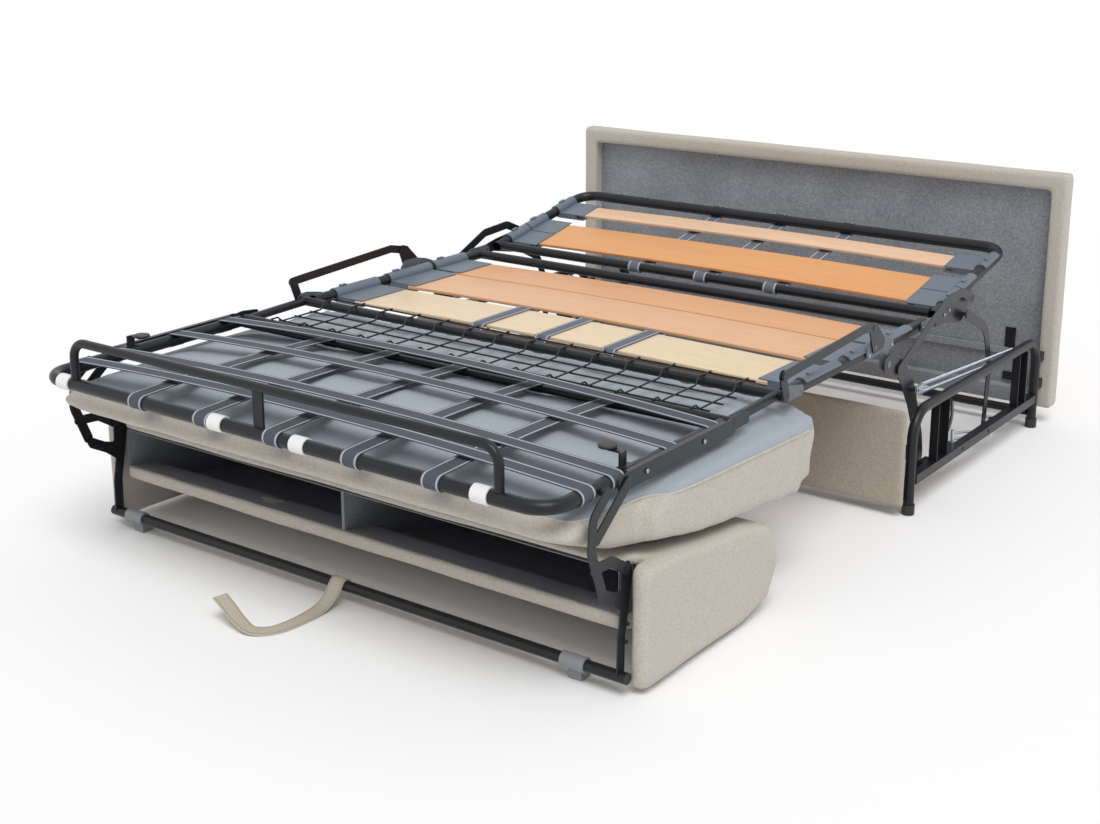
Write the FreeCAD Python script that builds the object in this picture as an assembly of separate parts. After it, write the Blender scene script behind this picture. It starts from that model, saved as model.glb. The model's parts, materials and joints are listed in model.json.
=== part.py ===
import FreeCAD, Part
import math
import os

V = FreeCAD.Vector

# Fold-over sleeper sofa, drawn with its bed pulled out and the head section raised.
# X runs across the bed, Y from the foot of the bed to the back panel, Z up from the floor.
# All lengths are in millimetres and all angles in degrees.

# Driving dimensions of the whole sofa
BED_HALF_WIDTH = 710
RAIL_Z = 435
RAIL_R = 15
CROSS_R = 12
WALL = 1.5
FOOT_END_Y = -1610
PANEL_BACK_Y = 729
FRONT_REACH_Y = -1655
HEAD_SLOPE = 11.3

# Pivots of the fold in the pulled-out position, as (Y, Z)
ARM_BASE = (-67.4, 75.0)
ARM_TOP = (-275.0, 396.0)
HEAD_HINGE = (20.0, 435.0)
MESH_HINGE = (-775.0, 440.0)
FOOT_HINGE = (-997.5, 440.0)
BACKREST_HINGE = (-1400.0, 260.0)
HEAD_LINK_ARM = (-219.0, 370.0)
HEAD_LINK_TOP = (220.0, 460.0)
REAR_LINK_BASE = (349.7, 80.0)
REAR_LINK_TOP = (180.0, 425.0)
CRANK_PIVOT = (-335.0, 450.0)
LEVER_ARM = (-20.0, 52.0)
SPRING_FRONT = (-140.0, 300.0)
SPRING_REAR = (520.0, 245.0)

# The flat links run in six layers outside the bed rails, all of one plate
PLATE = 3.0
LAYER = [None, 726.5, 731.0, 735.5, 740.0, 744.5, 749.0]
PIN_R = 5.0
RUNNING_FIT = 0.06

# The frame's origin is on the floor, midway between its two ends
ORIGIN = V(0, (FRONT_REACH_Y + PANEL_BACK_Y) / 2, 0)


# Shared shape makers
def yz(point, x=0.0):
    return V(x, point[0], point[1])


def rod(a, b, radius):
    return Part.makeCylinder(radius, (b - a).Length, a, b - a)


def tube(a, b, radius, wall=WALL):
    return rod(a, b, radius).cut(rod(a, b, radius - wall))


def box(x0, x1, y0, y1, z0, z1):
    return Part.makeBox(x1 - x0, y1 - y0, z1 - z0, V(x0, y0, z0))


def rounded_path(points, radius):
    edges = []
    last = points[0]
    for before, corner, after in zip(points, points[1:], points[2:]):
        u = (before - corner).normalize()
        v = (after - corner).normalize()
        half = u.getAngle(v) / 2
        if half > 1.57:
            continue
        start = corner + u * (radius / math.tan(half))
        end = corner + v * (radius / math.tan(half))
        middle = corner + (u + v).normalize() * (radius / math.sin(half) - radius)
        if (start - last).Length > 1e-6:
            edges.append(Part.LineSegment(last, start).toShape())
        edges.append(Part.Arc(start, middle, end).toShape())
        last = end
    if (points[-1] - last).Length > 1e-6:
        edges.append(Part.LineSegment(last, points[-1]).toShape())
    return Part.Wire(edges)


def sweep_round(path, radius):
    first = path.OrderedEdges[0]
    start = first.valueAt(first.FirstParameter)
    ring = Part.Wire(Part.makeCircle(radius, start, first.tangentAt(first.FirstParameter)))
    return path.makePipeShell([ring], True, False)


def bent_tube(points, bend, radius, wall=WALL):
    path = rounded_path(points, bend)
    return sweep_round(path, radius).cut(sweep_round(path, radius - wall)).Solids[0]


def bent_rod(points, bend, radius):
    return sweep_round(rounded_path(points, bend), radius).Solids[0]


def flat_bar(points, width, x, thick=PLATE, bend=None, holes=()):
    # A bar of steel plate that follows points in the side view, with round ends and pivot holes
    spots = [yz(p, x) for p in points]
    half = width / 2
    if len(spots) == 2:
        along = (spots[1] - spots[0]).normalize()
        side = along.cross(V(1, 0, 0)) * half
        ends = [Part.Arc(spots[0] - side, spots[0] - along * half, spots[0] + side).toShape(),
                Part.Arc(spots[1] + side, spots[1] + along * half, spots[1] - side).toShape()]
        sides = [Part.LineSegment(spots[0] + side, spots[1] + side).toShape(),
                 Part.LineSegment(spots[1] - side, spots[0] - side).toShape()]
        outline = Part.Wire([ends[0], sides[0], ends[1], sides[1]])
    else:
        outline = rounded_path(spots, bend or half * 1.2).makeOffset2D(half)
    bar = Part.Face(outline).extrude(V(thick, 0, 0))
    return drilled(bar, holes, x, thick)


def drilled(plate, holes, x, thick=PLATE):
    for spot, radius in holes:
        plate = plate.cut(rod(yz(spot, x - 1), yz(spot, x + thick + 1), radius))
    return plate


def outline_plate(points, x, thick=PLATE, corner=8.0, holes=()):
    # A plate cut to a many-sided outline in the side view, with its corners rounded
    spots = [yz(p, x) for p in points]
    middle = (spots[0] + spots[-1]) / 2
    path = rounded_path([middle] + spots + [middle], corner)
    plate = Part.Face(path).extrude(V(thick, 0, 0))
    return drilled(plate, holes, x, thick)


def rivet(spot, x0, x1, radius=PIN_R, head=8.0):
    # A shouldered pivot with a low round head at its outer end
    body = rod(yz(spot, x0), yz(spot, x1), radius)
    return body.fuse(rod(yz(spot, x1), yz(spot, x1 + 0.9), head))


def mirrored(shape):
    return shape.mirror(V(0, 0, 0), V(1, 0, 0))


def both_sides(shapes):
    return shapes + [mirrored(s) for s in shapes]


def on_slope(shape):
    # Head pieces are drawn level and then raised with the head section about its hinge
    raised = shape.copy()
    raised.rotate(yz(HEAD_HINGE), V(1, 0, 0), HEAD_SLOPE)
    return raised


def save(name, solids):
    pieces = []
    for solid in solids:
        pieces.extend(solid.Solids)
    shape = pieces[0] if len(pieces) == 1 else Part.makeCompound(pieces)
    shape = shape.copy()
    shape.translate(ORIGIN * -1)
    os.makedirs("parts", exist_ok=True)
    shape.exportStep("parts/" + name + ".step")


# Base: bent tube side hoops on four legs, closed below by box-section rails
SIDE_X = 784.0
HOOP_R = 13.0
LEG_FRONT_Y = -207.0
LEG_REAR_Y = 634.0
HOOP_TOP_Z = 261.0
HOOP_BEND = 70.0
GLIDE_H = 14.0
SIDE_RAIL_Z = (76.0, 100.0)
SIDE_RAIL_HALF = 12.5
POST_YS = ((-72.0, -4.0), (480.0, 540.0))
POST_WEB_X = 773.0
POST_DEPTH = 22.0


def side_hoop():
    corners = [V(SIDE_X, LEG_FRONT_Y, GLIDE_H), V(SIDE_X, LEG_FRONT_Y, HOOP_TOP_Z),
               V(SIDE_X, LEG_REAR_Y, HOOP_TOP_Z), V(SIDE_X, LEG_REAR_Y, GLIDE_H)]
    return bent_tube(corners, HOOP_BEND, HOOP_R, 2.0)


def side_rail():
    x0, x1 = SIDE_X - SIDE_RAIL_HALF, SIDE_X + SIDE_RAIL_HALF
    y0, y1 = LEG_FRONT_Y + HOOP_R, LEG_REAR_Y - HOOP_R
    z0, z1 = SIDE_RAIL_Z
    rail = box(x0, x1, y0, y1, z0, z1).cut(box(x0 + 2, x1 - 2, y0, y1, z0 + 2, z1 - 2))
    for y in (95.0, 270.0):
        rail = rail.cut(rod(V(x1 - 3, y, (z0 + z1) / 2), V(x1 + 1, y, (z0 + z1) / 2), 4.5))
    return rail


def side_post(span):
    # A folded channel, open to the outside, between the lower rail and the top of the hoop
    y0, y1 = span
    z0, z1 = SIDE_RAIL_Z[1], HOOP_TOP_Z - HOOP_R
    outer = box(POST_WEB_X, POST_WEB_X + POST_DEPTH, y0, y1, z0, z1)
    return outer.cut(box(POST_WEB_X + 2.5, POST_WEB_X + POST_DEPTH + 1, y0 + 2.5, y1 - 2.5, z0 - 1, z1 + 1))


save("side_hoops", both_sides([side_hoop()]))
save("side_rails", both_sides([side_rail()]))
save("side_posts", both_sides([side_post(span) for span in POST_YS]))

glides = []
for y in (LEG_FRONT_Y, LEG_REAR_Y):
    cup = rod(V(SIDE_X, y, 0), V(SIDE_X, y, GLIDE_H + 12), HOOP_R + 3)
    cup = cup.cut(rod(V(SIDE_X, y, GLIDE_H), V(SIDE_X, y, GLIDE_H + 17), HOOP_R + 0.02))
    glides.append(cup.makeFillet(2.5, [e for e in cup.Edges if e.BoundBox.ZMax < 0.1]))
save("leg_glides", both_sides(glides))

# Base: cross rails, the upholstered front panel and the pivots riveted to the sides
CROSS_RAIL_R = 12.0
CROSS_RAIL_Z = 44.0
FRONT_PANEL = dict(half=782.0, y0=-250.0, y1=-232.0, z0=27.0, z1=275.0)
BOARD = 9.0

cross_rails = [tube(V(-SIDE_X + HOOP_R, y, CROSS_RAIL_Z), V(SIDE_X - HOOP_R, y, CROSS_RAIL_Z), CROSS_RAIL_R)
               for y in (LEG_FRONT_Y, LEG_REAR_Y)]
save("cross_rails", cross_rails)

fp = FRONT_PANEL
front_board = box(-fp["half"] + 12, fp["half"] - 12, fp["y1"] - BOARD, fp["y1"], fp["z0"] + 12, fp["z1"] - 12)
save("front_panel_board", [front_board])
cover = box(-fp["half"], fp["half"], fp["y0"], fp["y1"], fp["z0"], fp["z1"])
cover = cover.makeFillet(7.0, [e for e in cover.Edges if e.BoundBox.YMax < fp["y0"] + 0.1])
save("front_panel_cover", [cover.cut(front_board)])

arm_post = box(752.0, SIDE_X - SIDE_RAIL_HALF, ARM_BASE[0] - 24, ARM_BASE[0] + 24, ARM_BASE[1] - 20, SIDE_RAIL_Z[1] - 2)
arm_post = arm_post.cut(box(756.0, 800.0, ARM_BASE[0] - 20, ARM_BASE[0] + 20, ARM_BASE[1] - 16, SIDE_RAIL_Z[0]))
arm_post = arm_post.cut(rod(yz(ARM_BASE, 751.0), yz(ARM_BASE, 757.0), PIN_R + 1))
base_pivots = [rod(yz(ARM_BASE, LAYER[4] - 1.0), yz(ARM_BASE, 756.0), PIN_R + 1),
               rod(yz(REAR_LINK_BASE, LAYER[6] - 1.0), yz(REAR_LINK_BASE, SIDE_X - SIDE_RAIL_HALF), PIN_R + 1),
               rod(yz(SPRING_REAR, 753.0), yz(SPRING_REAR, POST_WEB_X), 4.0)]
save("base_pivots", both_sides([arm_post] + base_pivots))

# Base: park latch, a toothed catch between two curved levers inside each front corner, and its tie
LATCH_X = 760.0
LATCH_PIN = (34.0, 128.0)
LATCH_FOOT_Z = (96.0, 100.0)
rail_face = SIDE_X - SIDE_RAIL_HALF
catch = outline_plate([(-8, 100), (52, 100), (62, 134), (44, 168), (18, 150), (6, 176), (-8, 168)],
                      LATCH_X, 4.0, 5.0, [(LATCH_PIN, 4.0)])
lever_a = flat_bar([(-2.0, 222.0), (-14.0, 172.0), LATCH_PIN], 12.0, LATCH_X - 5, 4.0, 50.0, [(LATCH_PIN, 4.0)])
lever_b = flat_bar([(76.0, 214.0), (84.0, 160.0), LATCH_PIN], 12.0, LATCH_X + 5, 4.0, 50.0, [(LATCH_PIN, 4.0)])
latch_pin = rod(yz(LATCH_PIN, LATCH_X - 6), yz(LATCH_PIN, LATCH_X + 10), 4.0)
foot = box(LATCH_X - 6, rail_face, -10.0, 98.0, *LATCH_FOOT_Z)
TIE_FRONT = V(768.4, 88.0, 118.0)
TIE_REAR = V(768.4, 363.0, 56.0)
tab = box(761.0, rail_face, TIE_REAR.y - 6, TIE_REAR.y + 6, TIE_REAR.z + 12, SIDE_RAIL_Z[1] - 4)
save("park_latches", both_sides([catch, lever_a, lever_b, latch_pin, foot, tab]))
ties = [rod(TIE_FRONT + V(0, 0, 9) * k, TIE_REAR + V(0, 0, 5) * k, 3.0) for k in (-1, 1)]
ends = [rod(V(TIE_FRONT.x, TIE_FRONT.y, LATCH_FOOT_Z[1]), TIE_FRONT + V(0, 0, 18), 5.0),
        rod(TIE_REAR - V(0, 0, 12), TIE_REAR + V(0, 0, 12), 5.0)]
save("latch_tie_rods", both_sides([ties[0].fuse([ties[1], ends[0], ends[1]])]))

# Base: back panel, a board in an upholstered border, with a felt face towards the bed
PANEL_HALF = 823.5
PANEL_Y = (678.0, PANEL_BACK_Y)
PANEL_Z = (48.0, 729.0)
RIM = 48.0
FELT_Y = 715.0
FELT_T = 4.0
BACKING_T = 10.0
LOWER_BOARD_TOP = 92.0

border = box(-PANEL_HALF, PANEL_HALF, PANEL_Y[0], PANEL_Y[1], PANEL_Z[0], PANEL_Z[1])
border = border.makeFillet(10.0, [e for e in border.Edges if e.BoundBox.ZMin > PANEL_Z[0] + 1 or
                                  (e.BoundBox.XLength < 1 and e.BoundBox.ZLength > 100)])
inner_half = PANEL_HALF - RIM
recess = box(-inner_half, inner_half, PANEL_Y[0] - 1, PANEL_Y[1] + 1,
             PANEL_Z[0] - 1, PANEL_Z[1] - RIM)
save("back_panel_border", [border.cut(recess)])
save("back_panel_felt", [box(-inner_half, inner_half, FELT_Y, FELT_Y + FELT_T,
                             LOWER_BOARD_TOP, PANEL_Z[1] - RIM)])
save("back_panel_board", [box(-inner_half, inner_half, FELT_Y + FELT_T, FELT_Y + FELT_T + BACKING_T,
                              PANEL_Z[0], PANEL_Z[1] - RIM)])
lower_board = box(-inner_half, inner_half, PANEL_Y[0] + 1, FELT_Y + FELT_T, PANEL_Z[0] + 2, LOWER_BOARD_TOP)
ledge = box(-inner_half + 40, inner_half - 70, FELT_Y - 10, FELT_Y, 182.0, 200.0)
save("back_panel_battens", [lower_board, ledge])


def panel_bracket(z0, z1):
    plate = box(662.0, 692.0, FELT_Y - 4, FELT_Y, z0, z1)
    lip = box(684.0, 692.0, FELT_Y - 12, FELT_Y - 4, z0 + 6, z1 - 6)
    return plate.fuse(lip)


leg_ties = [box(SIDE_X - 9, SIDE_X + 9, LEG_REAR_Y + HOOP_R, PANEL_Y[0], z, z + 26) for z in (110.0, 190.0)]
leg_line = rod(V(SIDE_X, LEG_FRONT_Y, 0), V(SIDE_X, LEG_FRONT_Y, HOOP_TOP_Z), HOOP_R)
leg_ties += [box(SIDE_X - 12, SIDE_X - 3, fp["y1"], LEG_FRONT_Y - 6, z, z + 30).cut(leg_line) for z in (64.0, 150.0)]
save("panel_brackets", both_sides([panel_bracket(204.0, 262.0), panel_bracket(104.0, 128.0)] + leg_ties))

# Fold arms: a sickle-shaped plate each side, from the base pivot up to the middle of the bed
ARM_X = LAYER[4]
SPRING_X = 761.5
sickle_points = [(-90, 54), (-45, 54), (-42, 112), (-52, 160), (-80, 226), (-106, 284), (-124, 318), (-170, 366),
                 (-205, 395), (-268, 420), (-300, 412), (-300, 380), (-262, 366), (-214, 348),
                 (-188, 314), (-150, 262), (-116, 196), (-96, 140)]
sickle = outline_plate(sickle_points, ARM_X, corner=9.0, holes=[
    (ARM_BASE, PIN_R + 1 + RUNNING_FIT), (ARM_TOP, PIN_R + 1 + RUNNING_FIT)])
save("fold_arm_right", [sickle])
save("fold_arm_left", [mirrored(sickle)])
arm_pins = [rod(yz(HEAD_LINK_ARM, ARM_X + PLATE), yz(HEAD_LINK_ARM, LAYER[5] - 0.4), 9.0),
            rod(yz(SPRING_FRONT, ARM_X + PLATE), yz(SPRING_FRONT, SPRING_X + 3.4), 4.0)]
save("arm_pins", both_sides(arm_pins))

# Head link: an arched bar from the arm to the head section
arch = [HEAD_LINK_ARM, (40.0, 483.0), (150.0, 490.0), HEAD_LINK_TOP]
head_link = flat_bar(arch, 24.0, LAYER[5], PLATE, 34.0, [(HEAD_LINK_TOP, PIN_R + RUNNING_FIT)])
head_link = head_link.fuse(rod(yz(HEAD_LINK_ARM, LAYER[5] + 1), yz(HEAD_LINK_ARM, LAYER[5] + PLATE + 1.2), 13.0))
save("head_links", both_sides([head_link]))

# Rear link: a bowed bar from the lower rail to the head section
bow = [REAR_LINK_BASE, (364.0, 240.0), (318.0, 360.0), REAR_LINK_TOP]
rear_link = flat_bar(bow, 26.0, LAYER[6], PLATE, 90.0, [(REAR_LINK_BASE, PIN_R + 1 + RUNNING_FIT)])
rear_link = rear_link.fuse(rod(yz(REAR_LINK_TOP, LAYER[6] + 1), yz(REAR_LINK_TOP, LAYER[6] + PLATE + 1.0), 8.0))
save("rear_links", both_sides([rear_link]))

# Balance springs: two close-wound springs each side between the arm and the rear post
SPRING_COIL_R = 6.2
SPRING_GAP = 9.5
YOKE_T = 6.0
YOKE_REACH = (30.0, 16.0)
spring_axis = (yz(SPRING_REAR) - yz(SPRING_FRONT)).normalize()
spring_up = V(1, 0, 0).cross(spring_axis) * SPRING_GAP
front_end = yz(SPRING_FRONT, SPRING_X) + spring_axis * (YOKE_REACH[0] + 0.4)
rear_end = yz(SPRING_REAR, SPRING_X) - spring_axis * YOKE_REACH[1]
springs = [rod(front_end + spring_up * k, rear_end + spring_up * k, SPRING_COIL_R) for k in (-1, 1)]
save("balance_springs", both_sides(springs))


def spring_yoke(spot, along, reach):
    # A forked end plate that joins the two springs of one side to a pin
    wide, narrow = spring_up * 1.65, spring_up * 0.85
    start = yz(spot)
    outline = [start - along * 8 - narrow, start + along * reach - wide, start + along * reach + wide,
               start - along * 8 + narrow]
    return outline_plate([(p.y, p.z) for p in outline], SPRING_X - YOKE_T / 2, YOKE_T, 3.5, [(spot, 4.0 + RUNNING_FIT)])


save("spring_yokes_front", both_sides([spring_yoke(SPRING_FRONT, spring_axis, YOKE_REACH[0])]))
save("spring_yokes_rear", both_sides([spring_yoke(SPRING_REAR, spring_axis * -1, YOKE_REACH[1])]))

# Middle frame: two side rails, one rear cross tube and three sprung slats
MID_FRONT_Y = -745.0
MID_REAR_Y = -8.0
MID_CROSS_Y = -34.0
SLAT_HALF = 628.0
SLAT_T = 9.0
SLAT_TOP_Z = 437.0
SLATS_MID = ((-672.0, -492.0), (-454.0, -266.0), (-258.0, -104.0))
SLATS_HEAD = ((130.0, 292.0), (376.0, 450.0))
SLAT_BOW = 7.0
CLIP_IN = 622.0


def slat(y0, y1):
    # A laminated slat, bowed a little upwards across the bed, with its long edges rounded
    rise = SLAT_BOW
    radius = (SLAT_HALF ** 2 + rise ** 2) / (2 * rise)
    z1 = SLAT_TOP_Z
    top = Part.Arc(V(-SLAT_HALF, 0, z1 - rise), V(0, 0, z1), V(SLAT_HALF, 0, z1 - rise)).toShape()
    low = Part.Arc(V(SLAT_HALF, 0, z1 - rise - SLAT_T), V(0, 0, z1 - SLAT_T),
                   V(-SLAT_HALF, 0, z1 - rise - SLAT_T)).toShape()
    sides = [Part.LineSegment(V(SLAT_HALF, 0, z1 - rise), V(SLAT_HALF, 0, z1 - rise - SLAT_T)).toShape(),
             Part.LineSegment(V(-SLAT_HALF, 0, z1 - rise - SLAT_T), V(-SLAT_HALF, 0, z1 - rise)).toShape()]
    face = Part.Face(Part.Wire([top, sides[0], low, sides[1]]))
    solid = face.extrude(V(0, y1 - y0, 0))
    solid.translate(V(0, y0, 0))
    long_edges = [e for e in solid.Edges if e.BoundBox.XLength > SLAT_HALF]
    return solid.makeFillet(2.5, long_edges)


def clip(y0, y1):
    # A plastic shell over the rail, reaching in under the slat's end, with a small stop on top
    r0, r1 = RAIL_R + 0.02, RAIL_R + 3.4
    shell = rod(V(BED_HALF_WIDTH, y0, RAIL_Z), V(BED_HALF_WIDTH, y1, RAIL_Z), r1)
    z1 = SLAT_TOP_Z - SLAT_BOW
    pocket = box(CLIP_IN - 18, BED_HALF_WIDTH - 8, y0, y1, z1 - SLAT_T - 5, z1 + 3.5)
    shell = shell.fuse(pocket).fuse(box(BED_HALF_WIDTH - 3, BED_HALF_WIDTH + 7, y0 + 30, y0 + 52,
                                        RAIL_Z + r1 - 1, RAIL_Z + r1 + 4))
    shell = shell.cut(rod(V(BED_HALF_WIDTH, y0 - 1, RAIL_Z), V(BED_HALF_WIDTH, y1 + 1, RAIL_Z), r0))
    shell = shell.cut(box(0, SLAT_HALF + 2, y0 - 1, y1 + 1, z1 - SLAT_T - 0.1, z1 + 0.9))
    return shell.cut(box(BED_HALF_WIDTH, BED_HALF_WIDTH + r1 + 1, y0 - 1, y1 + 1, RAIL_Z - r1 - 1, RAIL_Z + 9))


def rail_plate(points, hinge_holes, fixings):
    # A steel plate against the outer side of a rail, on short spacers
    holes = [(spot, radius) for spot, radius in hinge_holes]
    plate = outline_plate(points, LAYER[1], PLATE, 7.0, holes)
    for spot in fixings:
        plate = plate.fuse(rod(yz(spot, BED_HALF_WIDTH + RAIL_R - 0.1), yz(spot, LAYER[1] + PLATE + 0.9), 5.0))
    return plate


mid_rails = [tube(V(x, MID_FRONT_Y, RAIL_Z), V(x, MID_REAR_Y, RAIL_Z), RAIL_R)
             for x in (-BED_HALF_WIDTH, BED_HALF_WIDTH)]
mid_cross = rod(V(-BED_HALF_WIDTH, MID_CROSS_Y, RAIL_Z), V(BED_HALF_WIDTH, MID_CROSS_Y, RAIL_Z), CROSS_R + 1)
mid_cross = mid_cross.cut(rod(V(-BED_HALF_WIDTH, MID_CROSS_Y, RAIL_Z), V(BED_HALF_WIDTH, MID_CROSS_Y, RAIL_Z),
                              CROSS_R - 1))
mid_bores = [rod(V(x, MID_FRONT_Y, RAIL_Z), V(x, MID_REAR_Y, RAIL_Z), RAIL_R - 0.1)
             for x in (-BED_HALF_WIDTH, BED_HALF_WIDTH)]
save("mid_frame", [mid_rails[0].fuse(mid_rails[1]).fuse(mid_cross.cut(mid_bores[0]).cut(mid_bores[1]))])
for name, span in zip(("front", "centre", "rear"), SLATS_MID):
    save("slat_mid_" + name, [slat(*span)])
clips = [clip(y0 + 4, y1 - 4) for y0, y1 in SLATS_MID]
save("slat_clips_mid", both_sides(clips))

crank_plate = rail_plate([(-370, 426), (-225, 426), (-225, 448), (-262, 462), (-300, 470), (-352, 470), (-370, 452)],
                         [(CRANK_PIVOT, PIN_R), (ARM_TOP, PIN_R + 1)],
                         [(-360, 434), (-235, 434)])
arm_ear = outline_plate([(-300, 450), (-248, 450), (-256, 388), (-270, 380), (-284, 380), (-296, 392)],
                        LAYER[1], PLATE, 7.0, [(ARM_TOP, PIN_R + 1)])
crank_plate = crank_plate.fuse(arm_ear).cut(rod(yz(ARM_TOP, 720), yz(ARM_TOP, 735), PIN_R + 1))
mesh_ear = rail_plate([(-784, 430), (-770, 425), (-690, 424), (-690, 446), (-750, 458), (-774, 457), (-785, 446)],
                      [(MESH_HINGE, PIN_R + 1 + RUNNING_FIT)], [(-735, 434), (-700, 434)])
head_ear = rail_plate([(-60, 424), (0, 420), (26, 418), (36, 430), (36, 446), (20, 452), (-60, 450)],
                      [(HEAD_HINGE, PIN_R + 1 + RUNNING_FIT)], [(-50, 434), (-24, 434)])
arm_pivot = rod(yz(ARM_TOP, LAYER[1] - 1), yz(ARM_TOP, ARM_X + PLATE + 0.3), PIN_R + 1)
arm_pivot = arm_pivot.fuse(rod(yz(ARM_TOP, ARM_X + PLATE + 0.1), yz(ARM_TOP, ARM_X + PLATE + 0.9), 9.0))
crank_pivot = rod(yz(CRANK_PIVOT, LAYER[1] - 0.4), yz(CRANK_PIVOT, LAYER[2] + PLATE + 0.5), PIN_R)
save("mid_plates", both_sides([crank_plate, mesh_ear, head_ear, arm_pivot, crank_pivot]))

# Cross straps woven over and under the slats of the middle frame
STRAP_T = 1.6
STRAP_W = 40.0


def ribbon(points, width, x0, bend, thick=STRAP_T):
    # A flat strap that follows points in the side view and is width wide across the bed
    path = rounded_path([yz(p, x0) for p in points], bend)
    return Part.Face(path.makeOffset2D(thick / 2)).extrude(V(width, 0, 0))


over = SLAT_TOP_Z + 1.4
low = SLAT_TOP_Z - SLAT_T - 2.6
straps = []
for x0 in (-215.0, -15.0, 185.0):
    weave = ribbon([(-690, low), (-680, over), (-484, over), (-472, low), (-262, low)], STRAP_W, x0, 3.0)
    straps.append(weave)
save("slat_straps_mid", straps)

# Head section: a bent tube loop with two slats, hinged behind the middle frame
HEAD_LENGTH = 508.0
HEAD_BEND = 55.0
HEAD_START = 34.0
head_y0 = HEAD_HINGE[0]
head_y1 = HEAD_HINGE[0] + HEAD_LENGTH
w = BED_HALF_WIDTH

head_loop = bent_tube([V(-w, head_y0 + HEAD_START, RAIL_Z), V(-w, head_y1, RAIL_Z), V(w, head_y1, RAIL_Z),
                       V(w, head_y0 + HEAD_START, RAIL_Z)], HEAD_BEND, RAIL_R)
HEAD_CROSS_Y = head_y0 + HEAD_START + 14
head_cross = tube(V(-w + RAIL_R - 0.8, HEAD_CROSS_Y, RAIL_Z), V(w - RAIL_R + 0.8, HEAD_CROSS_Y, RAIL_Z), CROSS_R + 1)
save("head_frame", [on_slope(head_loop.fuse(head_cross))])
for name, span in zip(("front", "rear"), SLATS_HEAD):
    save("slat_head_" + name, [on_slope(slat(*span))])
HEAD_CLIPS = ((112.0, 206.0), (210.0, 304.0), (366.0, 460.0))
save("slat_clips_head", [on_slope(c) for c in both_sides([clip(*span) for span in HEAD_CLIPS])])


def level(point):
    # The place on the level drawing of the head section that ends up at a point of the side view
    turned = on_slope(Part.Vertex(yz((2 * HEAD_HINGE[0] - point[0], point[1]))))
    return 2 * HEAD_HINGE[0] - turned.Y, turned.Z


link_seat, rear_seat = level(HEAD_LINK_TOP), level(REAR_LINK_TOP)
head_plate = rail_plate([(12, 424), (60, 416), (rear_seat[0] - 30, rear_seat[1] - 14), (rear_seat[0], rear_seat[1] - 20),
                         (rear_seat[0] + 24, rear_seat[1] - 8), (link_seat[0] + 24, RAIL_Z - 10),
                         (link_seat[0] + 22, link_seat[1] + 20), (link_seat[0] - 22, link_seat[1] + 18),
                         (80, RAIL_Z + 14), (12, 449)],
                        [(HEAD_HINGE, PIN_R + 1)], [])
head_plate.translate(V(LAYER[2] - LAYER[1], 0, 0))
for y in (70, 100):
    head_plate = head_plate.fuse(rod(V(w + RAIL_R - 0.1, y, RAIL_Z), V(LAYER[2] + PLATE + 0.9, y, RAIL_Z), 5.0))
head_pins = [rod(yz(HEAD_HINGE, LAYER[1] - 3), yz(HEAD_HINGE, LAYER[2] + PLATE + 0.8), PIN_R + 1),
             rod(yz(link_seat, LAYER[2] + 1), yz(link_seat, LAYER[5] + PLATE + 1), PIN_R),
             rod(yz(rear_seat, LAYER[2] + 1), yz(rear_seat, LAYER[6] - 0.4), PIN_R)]
head_plate = head_plate.cut(head_pins[1]).cut(head_pins[2])
save("head_plates", [on_slope(s) for s in both_sides([head_plate] + head_pins)])


def looped(start, end, rise, across, width, wraps):
    # A strap bent round a tube at each end, over the top of the tubes or, with minus wraps, below them
    outward = (start - end).normalize()
    top0, top1 = start + V(0, 0, wraps[0]), end + V(0, 0, wraps[1])
    edges = [Part.Arc(start - V(0, 0, wraps[0]), start + outward * abs(wraps[0]), top0).toShape(),
             Part.Arc(top0, (top0 + top1) / 2 + V(0, 0, rise), top1).toShape(),
             Part.Arc(top1, end - outward * abs(wraps[1]), end - V(0, 0, wraps[1])).toShape()]
    return Part.Face(Part.Wire(edges).makeOffset2D(STRAP_T / 2)).extrude(across * width)


STRAP_GAP = 0.9
head_straps = []
for x0 in (-230.0, -10.0, 212.0):
    strap = looped(V(x0, HEAD_CROSS_Y, RAIL_Z), V(x0, head_y1, RAIL_Z), -1.0, V(1, 0, 0), STRAP_W,
                   (-CROSS_R - 1 - STRAP_GAP, -RAIL_R - STRAP_GAP))
    head_straps.append(on_slope(strap))
save("slat_straps_head", head_straps)

# Mesh section: two cross tubes joined by short rails, with a welded wire grid between them
mesh_y0, mesh_y1 = -985.0, MESH_HINGE[0]
MESH_X = BED_HALF_WIDTH
WIRE_R = 2.2
mesh_tubes = [tube(V(-725.0, mesh_y1, MESH_HINGE[1]), V(725.0, mesh_y1, MESH_HINGE[1]), CROSS_R, 2.0),
              tube(V(-MESH_X - CROSS_R, mesh_y0, RAIL_Z), V(MESH_X + CROSS_R, mesh_y0, RAIL_Z), CROSS_R)]
mesh_rail = rod(V(MESH_X, mesh_y0, RAIL_Z), V(MESH_X, mesh_y1, MESH_HINGE[1]), CROSS_R - 1)
mesh_bores = [rod(V(-726, mesh_y1, MESH_HINGE[1]), V(726, mesh_y1, MESH_HINGE[1]), CROSS_R - 2),
              rod(V(-726, mesh_y0, RAIL_Z), V(726, mesh_y0, RAIL_Z), CROSS_R - WALL)]
mesh_frame = mesh_tubes[0].fuse([mesh_tubes[1], mesh_rail, mirrored(mesh_rail)])
save("mesh_frame", [mesh_frame.cut(mesh_bores[0]).cut(mesh_bores[1])])
grid = []
GRID_HALF = 640.0
grid_z = RAIL_Z + CROSS_R + WIRE_R
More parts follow.
